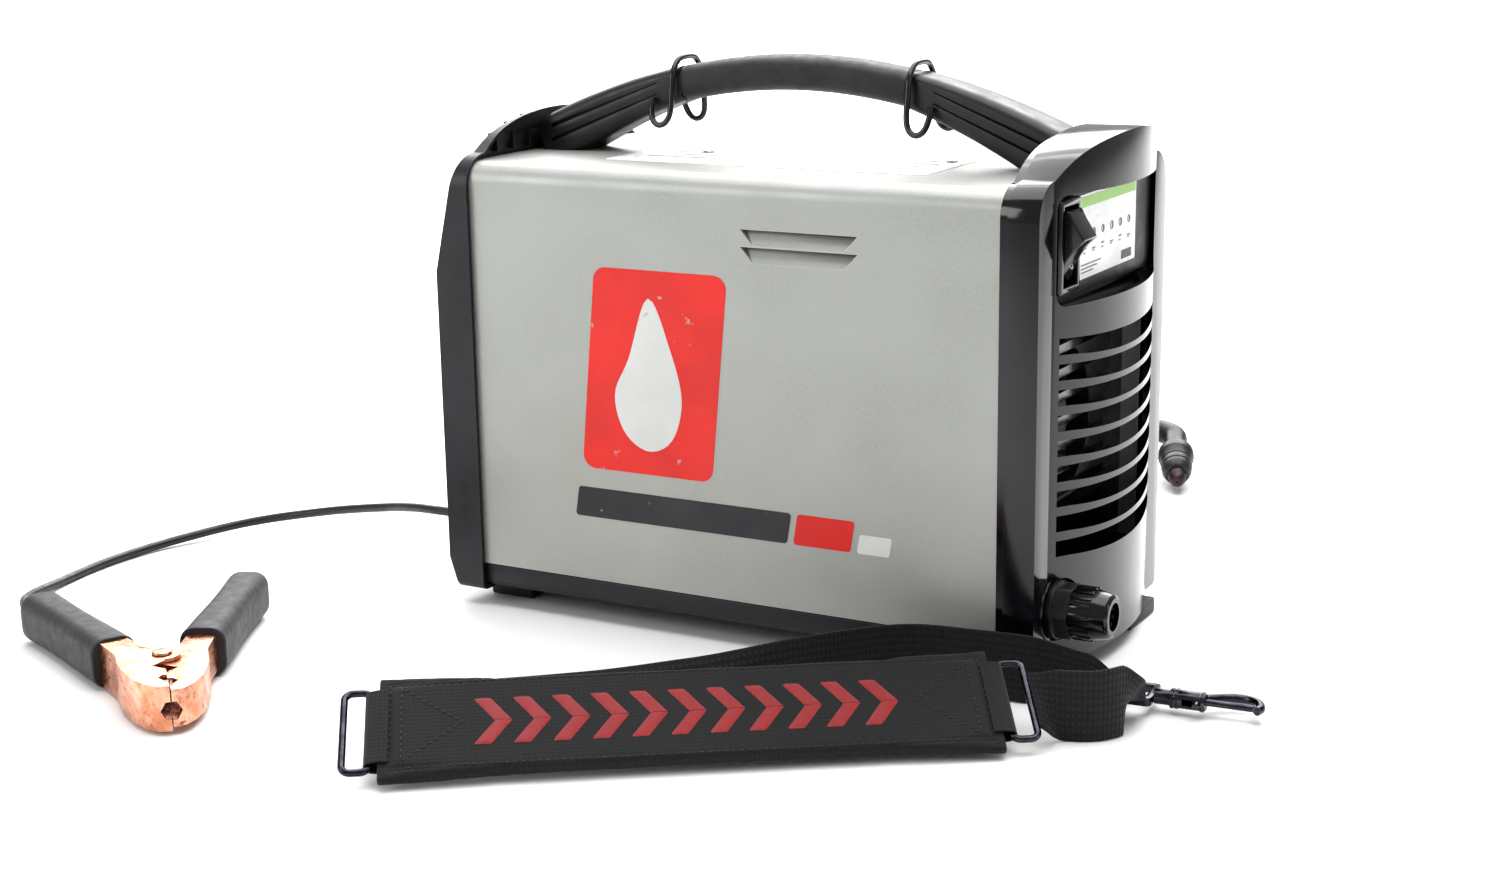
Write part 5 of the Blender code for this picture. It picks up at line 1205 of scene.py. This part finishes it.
def hangers():
    """Bent wires over the handle that the strap's hooks clip into."""
    for name, end in (("hanger_lead_end", -1), ("hanger_switch_end", 1)):
        inner = MIDDLE + end * (GRIP_HALF + 0.003)
        outer = inner + end * 0.0135
        side = 0.0153
        hang = COVER_TOP + 0.018
        over = arch_z(inner) + 0.0058
        middle = (inner + outer) / 2
        start = arch_z(outer) - HANDLE_TALL - HANDLE_FLARE * (abs(outer - MIDDLE) - GRIP_HALF) + 0.008
        near = [
            (outer, -side - 0.0012, start), (outer, -side - 0.004, hang + 0.009),
            (outer - end * 0.0022, -side - 0.0062, hang + 0.0025), (middle, -side - 0.0068, hang),
            (inner + end * 0.0022, -side - 0.0062, hang + 0.0025), (inner, -side - 0.0048, hang + 0.009),
            (inner, -side - 0.0030, hang + 0.022), (inner, -side - 0.0012, over - 0.0085),
            (inner, -side + 0.0055, over - 0.0015),
        ]
        route = near + [(inner, 0, over)] + [(x, -y, z) for x, y, z in reversed(near)]
        show(wire(f"{name}_wire", smooth_line(route, 0.0016), 0.0018), "wire", stands_for=[name])


# ---------------------------------------------------------------- switch window
def switch_window():
    low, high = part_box("switch_housing")
    y, z = (low.y + high.y) / 2, (low.z + high.z) / 2
    half_y, half_z, middle = WINDOW
    outline = rectangle(half_y - 0.0006, half_z - 0.0006, 0.0068, (0, middle))
    back = plate("window_back_plate", outline, "X", 0.17252, 0.0004)
    carve(back, block("hole", (0.02, high.y - low.y + 0.0004, high.z - low.z + 0.0004), (0.1725, y, z)))
    show(smooth(back), "matte")
    housing = refined("switch_housing", "switch_frame", 0.5, 3)
    show(housing, "gloss", stands_for=["switch_housing"])
    rocker = refined("power_rocker", "rocker_key", 0.45, 3, 25)
    show(rocker, "gloss", "rocker", ["power_rocker"])
    turn = Matrix.Rotation(math.radians(65.5), 4, "Y")
    ring = lathe("rocker_off_ring", [(2.1, 0.15), (2.1, -0.1), (1.5, -0.1), (1.5, 0.15)], (0, 0, 0), (0, 0, 1), 32)
    ring.data.transform(Matrix.Translation((0.1779, -0.06075, 0.2297)) @ turn)
    show(smooth(ring), "white_ink", "rocker")
    low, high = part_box("rating_label")
    centre = ((low.y + high.y) / 2, (low.z + high.z) / 2)
    outline = rectangle((high.y - low.y) / 2, (high.z - low.z) / 2, 0.0015, centre)
    film = plate("rating_film", outline, "X", low.x, high.x - low.x)
    show(smooth(film), "film", stands_for=["rating_label"])
    face = high.x + 0.00008
    band = block("rating_green_band", (0.00016, high.y - low.y - 0.003, 0.0058),
                 (face, (low.y + high.y) / 2, high.z - 0.0042))
    show(band, "green_ink")
    marks = []
    across = high.y - low.y
    for i in range(6):
        at = low.y + across * (0.13 + 0.15 * i)
        outer = 2.6 - 0.2 * (i % 3)
        inner = outer - 0.6
        profile = [(outer, 0.08), (outer, -0.08), (inner, -0.08), (inner, 0.08)]
        marks.append(lathe("mark", profile, (face, at, z + 0.0015), (1, 0, 0), 24))
        marks.append(block("mark", (0.00016, 0.0012, 0.0036), (face, at + 0.0006, z + 0.0015)))
        marks.append(block("mark", (0.00016, 0.0044, 0.0008), (face, at, z - 0.0062 - 0.0012 * (i % 2))))
        marks.append(block("mark", (0.00016, 0.0030, 0.0006), (face, at - 0.0006, z - 0.0086)))
    for i in range(14):
        marks.append(block("mark", (0.00016, 0.0004 + 0.0003 * (i % 3), 0.0050),
                           (face, high.y - 0.0065 - 0.0012 * i, low.z + 0.0048)))
    for i in range(3):
        place = (face, low.y + 0.022 - 0.003 * i, low.z + 0.0075 - 0.002 * i)
        marks.append(block("mark", (0.00016, 0.030 - 0.006 * i, 0.0007), place))
    show(combine("rating_print", marks), "grey_ink")


# ---------------------------------------------------------------- power cable gland
def gland():
    show(refined("gland_body", "gland_shell", 0.35, 2), "matte", stands_for=["gland_body"])
    nut = lathe("gland_cap_nut", [
        (7.8, 34.0), (10.4, 34.0), (11.6, 33.2), (12.6, 31.4), (13.4, 27.0), (14.2, 24.0), (14.2, 12.5),
        (11.1, 12.5), (11.1, 29.5), (7.8, 32.0),
    ], GLAND, (1, 0, 0), 64)
    ribs = [nut]
    for i in range(18):
        angle = math.tau * i / 18
        rib = block("rib", (0.0115, 0.0022, 0.0014), (0.0185, 0, 0.0143), bevel=0.35)
        rib.data.transform(Matrix.Translation(GLAND) @ Matrix.Rotation(angle, 4, "X"))
        ribs.append(rib)
    show(smooth(combine("gland_ribbed_nut", ribs), 28), "gloss", stands_for=["gland_nut"])
    jaws = [refined("gland_seal", "seal", 0.2, 1)]
    for i in range(10):
        jaw = block("jaw", (0.0040, 0.0026, 0.0022), (0.0290, 0, 0.0076), bevel=0.3)
        jaw.data.transform(Matrix.Translation(GLAND) @ Matrix.Rotation(math.tau * i / 10, 4, "X"))
        jaws.append(jaw)
    show(combine("gland_seal_jaws", jaws), "rubber", stands_for=["gland_seal"])


# ---------------------------------------------------------------- control panel and strain reliefs
DIAL = Vector((-0.1985, 0.022, PANEL_HEIGHT))


def control_panel():
    show(refined("control_panel", "control_plate", 0.4), "matte", stands_for=["control_panel"])
    low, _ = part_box("current_knob")
    knob = lathe("current_dial_knob", [
        (0, 12.0), (12.4, 12.0), (13.6, 11.5), (14.4, 10.4), (16.0, 3.0), (16.4, 1.4), (4.2, 1.4), (4.2, -5.8),
        (0, -5.8),
    ], (-0.1975, DIAL.y, DIAL.z), (-1, 0, 0), 72)
    for i in range(20):
        angle = math.tau * (i + 0.5) / 20
        flute = primitive("cylinder", "flute", vertices=12, radius=0.0011, depth=0.02,
                          location=(-0.2045, DIAL.y + 0.0160 * math.sin(angle), DIAL.z + 0.0160 * math.cos(angle)),
                          rotation=(0, math.pi / 2, 0))
        carve(knob, flute)
    carve(knob, block("pointer", (0.004, 0.0016, 0.011), (low.x, DIAL.y, DIAL.z + 0.0088)))
    show(smooth(knob, 28), "matte", "knob", ["current_knob"])
    line = block("knob_pointer_line", (0.0008, 0.0013, 0.0100), (low.x + 0.0018, DIAL.y, DIAL.z + 0.0088))
    show(line, "white_ink", "knob")
    marks = []
    for i in range(11):
        angle = math.radians(-135 + 27 * i)
        tick = block("tick", (0.00016, 0.0006 if i % 2 else 0.0009, 0.0022 if i % 2 else 0.0034), (0, 0, 0.0198))
        tick.data.transform(Matrix.Translation(DIAL) @ Matrix.Rotation(angle, 4, "X"))
        marks.append(tick)
    for number, degrees in ((10, -135), (20, 0), (30, 135)):
        deselect()
        bpy.ops.object.text_add()
        text = bpy.context.active_object
        text.data.body = str(number)
        text.data.size = 0.0055
        text.data.extrude = 0.00008
        text.data.align_x = "CENTER"
        text.data.align_y = "CENTER"
        bpy.ops.object.convert(target="MESH")
        text = bpy.context.active_object
        angle = math.radians(degrees)
        at = DIAL + Vector((0, 0.0262 * math.sin(-angle), 0.0262 * math.cos(angle)))
        facing = Matrix(((0, 0, -1), (-1, 0, 0), (0, 1, 0))).to_4x4()
        text.data.transform(Matrix.Translation(at) @ facing)
        marks.append(text)
    show(combine("dial_marks", marks), "white_ink")
    show(refined("indicator_lens", "lamp_window", 0.5, 3), "lens", stands_for=["indicator_lens"])
    lamps = []
    for i in range(4):
        lamps.append(lathe("lamp", [(0, 0.5), (1.6, 0.3), (1.9, 0), (0, 0)],
                           (-0.2003, -0.038, 0.139 + 0.0147 * i), (-1, 0, 0), 20))
    show(smooth(combine("indicator_lamps", lamps)), "green_ink")
    for name, node, y, radius in (
        ("work_relief_sleeve", "work_lead_relief", -RELIEF_SIDE, WORK_RADIUS),
        ("torch_relief_sleeve", "torch_lead_relief", RELIEF_SIDE, TORCH_RADIUS),
    ):
        tip = 1000 * radius + 1.4
        profile = [(0, 34.0), (tip - 0.5, 34.0), (tip, 33.5)]
        for i in range(6):
            at = 31.0 - 3.6 * i
            wide = tip + (8.2 - tip) * (i + 1) / 7
            profile += [(wide, at), (wide, at - 1.8), (wide - 0.9, at - 2.1), (wide - 0.8, at - 3.3)]
        profile += [
            (8.2, 9.0), (8.4, 5.0), (10.2, 4.0), (10.2, 0.3), (7.8, 0.3), (7.8, -2.8), (10.5, -2.8), (10.5, -5.0),
            (0, -5.0),
        ]
        relief = lathe(name, profile, (LEAD_FACE, y, RELIEF_HEIGHT), (-1, 0, 0), 40)
        show(soften(relief, 0.25, 2, 30), "rubber", stands_for=[node])


# ---------------------------------------------------------------- work clamp
def on_lever(along, across=0.0):
    c, s = math.cos(LEVER_TURN), math.sin(LEVER_TURN)
    return 0.012 + c * along - s * across, 0.0165 + s * along + c * across


def clamp():
    for node, sleeve_node, body, side in (
        ("clamp_lever_fixed", "clamp_sleeve_fixed", "machine", 1),
        ("clamp_lever_moving", "clamp_sleeve_moving", "clamp_jaw", -1),
    ):
        lever = refined(node, f"{node}_stamping", 0.5, 3, 30, 30)
        bite = primitive("cylinder", "bite", vertices=6, radius=0.0058, depth=0.013)
        turn = Matrix.Rotation(math.pi / 2, 4, "Y")
        bite.data.transform(CLAMP @ Matrix.Translation((-0.0515, 0, -0.0015)) @ turn)
        smooth(carve(lever, bite), 30)
        show(lever, "copper", body, [node])
        name = "clamp_fixed_sleeve" if side > 0 else "clamp_moving_sleeve"
        section = rectangle(0.01275, 0.01425, 0.0085, steps=6)
        count = len(section)

        def place(u, v, side=side, section=section, count=count):
            a, b = section[round(v * count) % count]
            along = 0.0220 + 0.1145 * u
            end = min(1.0, ((1 - u) * 0.1145) / 0.0080)
            closing = 0.50 + 0.50 * math.sqrt(max(0.0, 1 - (1 - end) ** 2))
            waist = 0.95 + 0.05 * math.cos(math.tau * (u - 0.08)) + 0.03 * math.exp(-((u - 0.02) / 0.02) ** 2)
            x, y = on_lever(along, a * waist * closing)
            return CLAMP @ Vector((x, side * y, b * (0.975 + 0.025 * waist) * closing))

        sleeve = formed(name, 56, count, place, capped=True)
        show(soften(sleeve, 0.8, 3, 50, 45), "rubber", body, [sleeve_node])
    show(refined("clamp_pin", "clamp_rivet", 0.35, 3), "copper", stands_for=["clamp_pin"])
    coil = []
    for i in range(4 * 24 + 1):
        angle = math.tau * i / 24
        coil.append(CLAMP @ Vector((0.0052 * math.cos(angle), 0.0052 * math.sin(angle), 0.0032 * (i / 24 - 2))))
    show(wire("clamp_coil_spring", coil, 0.0011, roundness=3), "steel", stands_for=["clamp_spring"])


# ---------------------------------------------------------------- torch
HEAD_BEND = math.radians(-80)


def torch():
    show(refined("torch_handle", "torch_grip", 0.5, 2, 30, 40), "matte", stands_for=["torch_handle"])
    ribs = []
    for i in range(7):
        x = -0.165 + 0.0115 * i
        rib = block("rib", (0.0042, 0.0190, 0.0286), (x, 0.0005, 0), bevel=0.6)
        rib.data.transform(TORCH)
        ribs.append(rib)
    show(combine("torch_grip_ribs", ribs), "rubber")
    show(refined("torch_trigger", "torch_trigger_key", 0.7, 3), "gloss", "trigger", ["torch_trigger"])

    def along_head(distance):
        return (math.cos(HEAD_BEND) * distance, math.sin(HEAD_BEND) * distance, 0)

    neck = [(-0.0297, 0, 0), (-0.022, 0, 0), (-0.012, -0.001, 0), (-0.003, -0.006, 0), along_head(0.012),
            along_head(0.022), along_head(0.034)]
    route = [TORCH @ p for p in smooth_line(neck, 0.003)]
    show(wire("torch_head_neck", route, 0.0085, roundness=8), "matte", stands_for=["torch_head"])
    axis = TORCH.to_3x3() @ Vector(along_head(1.0))
    cap = lathe("torch_ringed_cap", [
        (0, 32.0), (8.2, 32.0), (8.9, 31.2), (10.5, 27.0), (10.8, 24.0), (10.2, 23.4), (11.0, 22.6), (11.2, 18.0),
        (10.6, 17.4), (11.4, 16.6), (11.8, 10.0), (12.8, 8.0), (12.8, 2.0), (11.8, 0.3), (0, 0.3),
    ], TORCH @ Vector(along_head(0.034)), axis, 48)
    show(soften(cap, 0.2, 2, 25), "matte", stands_for=["torch_retaining_cap"])
    nozzle = lathe("torch_copper_nozzle", [
        (0, 9.0), (1.0, 10.5), (3.0, 10.5), (4.2, 9.6), (5.8, 7.0), (6.6, 0.3), (0, 0.3),
    ], TORCH @ Vector(along_head(0.0663)), axis, 40)
    show(smooth(nozzle), "burnt", stands_for=["torch_nozzle"])


# ---------------------------------------------------------------- shoulder strap
def pad():
    """Foam pad in a sewn canvas cover: pressed flat along its stitching and full between."""
    width, depth = 2 * PAD_HALF[0] - 0.002, 2 * PAD_HALF[1] - 0.002
    cushion = primitive("cube", "shoulder_pad", size=1, scale=(width, depth, 0.0048))
    modify(cushion, "REMESH", mode="VOXEL", voxel_size=0.0022)
    rest = [v.co.copy() for v in cushion.data.vertices]
    take(cushion)
    bpy.ops.object.modifier_add(type="CLOTH")
    cloth = cushion.modifiers[-1].settings
    cloth.use_pressure = True
    cloth.uniform_pressure_force = 4
    cloth.effector_weights.gravity = 0
    for step in range(1, 21):
        bpy.context.scene.frame_set(step)
    bpy.ops.object.modifier_apply(modifier=cushion.modifiers[-1].name)
    bpy.context.scene.frame_set(1)
    edge = 0.0065
    for vertex, start in zip(cushion.data.vertices, rest):
        move = vertex.co - start
        if move.length > 0.004:
            move *= 0.004 / move.length
        place = start + move
        inside = min(width / 2 - abs(start.x), depth / 2 - abs(start.y))
        crown = 1 - 0.42 * math.exp(-((inside - edge) / 0.0022) ** 2)
        crown *= 0.80 + 0.20 * min(1.0, inside / 0.012)
        place.x = max(-width / 2, min(width / 2, place.x))
        place.y = max(-depth / 2, min(depth / 2, place.y))
        ripple = 0.00022 * math.sin(start.x * 95 + start.y * 40) * math.sin(start.x * 31)
        place.z = max(-0.0042, min(0.0042, place.z * crown * 1.25 + ripple))
        vertex.co = place
    modify(cushion, "SUBSURF", levels=1, render_levels=1)
    cushion.data.transform(PAD)
    smooth(cushion, 80)
    show(cushion, "canvas", stands_for=["strap_pad"])
    return cushion


def pad_height(cushion, x, y):
    """Height of the pad's upper face over its own middle plane."""
    start = PAD @ Vector((x, y, 0.03))
    hit, place, _, _ = cushion.ray_cast(start, PAD.to_3x3() @ Vector((0, 0, -1)))
    return (PAD.inverted() @ place).z if hit else 0.0035


def stitches(name, cushion, line, pitch=0.0040, length=0.0029):
    """A row of machine stitches on the pad, each a short lozenge sunk into the cloth."""
    shape = bmesh.new()
    for i in range(int(run_length([Vector(p) for p in line]) / pitch)):
        goal = pitch * (i + 0.5)
        for a, b in zip(line, line[1:]):
            piece_length = (Vector(b) - Vector(a)).length
            if goal <= piece_length:
                break
            goal -= piece_length
        way = (Vector(b) - Vector(a)).normalized()
        x, y = Vector(a) + way * goal
        scale = Matrix.Diagonal((length / 2, 0.00045, 0.00035, 1))
        turn = Matrix.Rotation(math.atan2(way.y, way.x) + 0.12, 4, "Z")
        place = PAD @ Matrix.Translation((x, y, pad_height(cushion, x, y) + 0.0001)) @ turn @ scale
        bmesh.ops.create_icosphere(shape, subdivisions=1, radius=1.0, matrix=place)
    data = bpy.data.meshes.new(name)
    shape.to_mesh(data)
    shape.free()
    obj = bpy.data.objects.new(name, data)
    bpy.context.scene.collection.objects.link(obj)
    return show(smooth(obj, 60), "black_thread")


def pad_trim(cushion):
    x, y = PAD_HALF[0] - 0.0075, PAD_HALF[1] - 0.0075
    stitches("pad_border_stitching", cushion, [(-x, -y), (x, -y), (x, y), (-x, y), (-x, -y)])
    for name, end in (("pad_corner_stitching_lead_side", -1), ("pad_corner_stitching_switch_side", 1)):
        seam, point = end * (x - 0.006), end * (x - 0.036)
        stitches(name, cushion, [(seam, -0.024), (point, 0.0), (seam, 0.024), (seam, -0.024)])
    arms = []
    for i in range(11):
        tip = -0.094 + 0.0195 * i
        for half in (-1, 1):
            arms.append(embroidered_arm(cushion, tip, half))
    show(combine("pad_red_chevrons", arms), "red_thread")
    for name, end in (("pad_end_loop_lead_side", -1), ("pad_end_loop_switch_side", 1)):
        show(end_loop(name, end), "canvas")


def embroidered_arm(cushion, tip, half):
    """One arm of a satin-stitched chevron, domed over the cloth."""
    def place(u, v):
        x = tip + 0.0095 * (v - 0.5) - 0.0105 * u
        y = half * (0.0001 + 0.0150 * u)
        dome = 0.0009 * math.sqrt(max(0.0, 1 - (2 * v - 1) ** 2)) * min(1.0, (1 - u) * 8 + 0.3)
        return PAD @ Vector((x, y, pad_height(cushion, x, y) - 0.0002 + dome))
    return smooth(formed("arm", 18, 10, place), 60)


def end_loop(name, end):
    """The hem that turns round the ring's bar at the end of the pad."""
    path = [(0.151, 0.0041), (0.155, 0.0044), (0.1580, 0.0040), (0.1612, 0.0030), (0.1626, 0.0), (0.1612, -0.0030),
            (0.1580, -0.0040), (0.155, -0.0044), (0.151, -0.0041)]
    line = smooth_line([(x, z, 0) for x, z in path], 0.001)

    def place(u, v):
        point = line[min(len(line) - 1, round(u * (len(line) - 1)))]
        return PAD @ Vector((end * point.x, 0.0235 * (2 * v - 1), point.y))

    strip = formed(name, len(line) - 1, 12, place)
    scale_map(strip, run_length(line), 0.045)
    modify(strip, "SOLIDIFY", thickness=0.0009, offset=0)
    return smooth(strip, 50)


def scale_map(obj, length, width):
    """Stretch the piece's map to metres along and across it."""
    for loop in obj.data.uv_layers.active.data:
        loop.uv = (loop.uv.x * length, loop.uv.y * width)


def strap(name, stations, stands_for):
    """Webbing through stations, each a place and half of its width as a direction."""
    places = smooth_line([s[0] for s in stations], 0.003)
    length = run_length(places)
    count = len(stations) - 1

    def place(u, v):
        share = u * count
        i = min(count - 1, int(share))
        t = share - i
        t = t * t * (3 - 2 * t)
        across = Vector(stations[i][1]).lerp(Vector(stations[i + 1][1]), t)
        return station_place(stations, u) + across * (2 * v - 1)

    strip = formed(name, len(places) - 1, 10, place)
    scale_map(strip, length, WEBBING_WIDTH)
    modify(strip, "SOLIDIFY", thickness=WEBBING_THICK, offset=0)
    soften(strip, 0.4, 2, 50, 50)
    show(strip, "webbing", stands_for=stands_for)


def station_place(stations, u):
    """The middle of the webbing at a share of its stations."""
    points = [Vector(s[0]) for s in stations]
    padded = [points[0] * 2 - points[1]] + points + [points[-1] * 2 - points[-2]]
    share = u * (len(points) - 1)
    i = min(len(points) - 2, int(share))
    return curve_point(*padded[i:i + 4], share - i)


BACK_ROUTE = [
    (0.2180, -0.0860), (0.1990, -0.0990), (0.1760, -0.1090), (0.1460, -0.1120), (0.1140, -0.1180),
    (0.0890, -0.1390), (0.0660, -0.1740), (0.0300, -0.2120), (-0.0150, -0.2480), (-0.0620, -0.2810),
    (-0.1010, -0.3080),
]
LEANS_FROM = 6                          # the first place where the long run leans over behind the pad
LEANS = (20, 38, 48, 52, 52)            # degrees from upright there and on
FRONT_ROUTE = [(0.2130, -0.1520), (0.2290, -0.1450), (0.2375, -0.1320), (0.2360, -0.1180), (0.2320, -0.1030)]


def straps():
    half = WEBBING_WIDTH / 2
    middle = half + 0.0003
    upright = (0, 0, half)
    stations = [((x, y, middle), upright) for x, y in BACK_ROUTE]
    stations[0] = ((0.2190, -0.0870, 0.0086), (0.0035, 0.0080, 0.0008))
    stations[1] = ((0.1990, -0.0990, 0.0150), (0.0040, 0.0060, 0.0130))
    for i, ((x, y), lean) in enumerate(zip(BACK_ROUTE[LEANS_FROM:], LEANS)):
        rise = half * math.cos(math.radians(lean))
        out = half * math.sin(math.radians(lean))
        across = (-0.569 * out, 0.822 * out, rise)
        stations[LEANS_FROM + i] = ((x, y, rise + 0.0012), across)
    strap("strap_webbing_long", stations, ["strap_webbing_back"])
    bar = PAD @ Vector((PAD_HALF[0] + RING_GAP + RING_WIRE + RING_LENGTH + 0.0012, 0, 0))
    along_bar = PAD.to_3x3() @ Vector((0, 0.0185, 0))
    stations = [(tuple(bar), tuple(along_bar))] + [((x, y, middle), upright) for x, y in FRONT_ROUTE]
    stations[-1] = ((0.2308, -0.1010, 0.0088), (0.0086, 0.0010, 0.0012))
    stations[-2] = ((0.2360, -0.1180, 0.0150), (0.0080, 0.0010, 0.0125))
    strap("strap_webbing_short", stations, ["strap_webbing_front"])
    for name, end in (("strap_ring_lead_side", -1), ("strap_ring_switch_side", 1)):
        x = end * (PAD_HALF[0] + RING_GAP + RING_WIRE + RING_LENGTH / 2)
        outline = rectangle(RING_LENGTH / 2, RING_HALF, 0.0045, (x, 0), 8)
        loop = wire(f"{name}_wire", [PAD @ Vector((a, b, 0)) for a, b in outline], RING_WIRE, cyclic=True)
        show(loop, "gunmetal", stands_for=[name])


def snap_hook():
    show(refined("hook_eye", "hook_square_eye", 0.9, 3), "gunmetal", stands_for=["hook_eye"])
    barrel = refined("hook_body", "hook_swivel_body", 0.3, 2, 30, 40)
    rings = [barrel]
    for at in (19.5, 22.0, 35.6):
        ring = lathe("ring", [(4.9, 1.0), (5.5, 0.7), (5.5, -0.7), (4.9, -1.0)], (0, 0, 0), (1, 0, 0), 32)
        ring.data.transform(HOOK @ Matrix.Translation((at / 1000, 0, 0)))
        rings.append(ring)
    bend = [(0.0335, 0.0034, 0), (0.0400, 0.0074, 0), (0.0480, 0.0118, 0), (0.0565, 0.0122, 0),
            (0.0630, 0.0080, 0), (0.0655, 0.0015, 0), (0.0645, -0.0030, 0)]
    claw = wire("claw", [HOOK @ p for p in smooth_line(bend, 0.0012)], 0.0025, roundness=6)
    rings.append(claw)
    show(smooth(combine("hook_swivel_body", rings), 40), "gunmetal", "snap_hook", ["hook_body"])
    show(refined("hook_bolt", "hook_sliding_bolt", 0.4, 2), "gunmetal", "snap_bolt", ["hook_bolt"])


# ---------------------------------------------------------------- build
cover()
cover_marks()
top_label()
base()
switch_cap()
lead_cap()
handle()
hangers()
switch_window()
gland()
control_panel()
clamp()
torch()
foam = pad()
pad_trim(foam)
straps()
snap_hook()
leads()
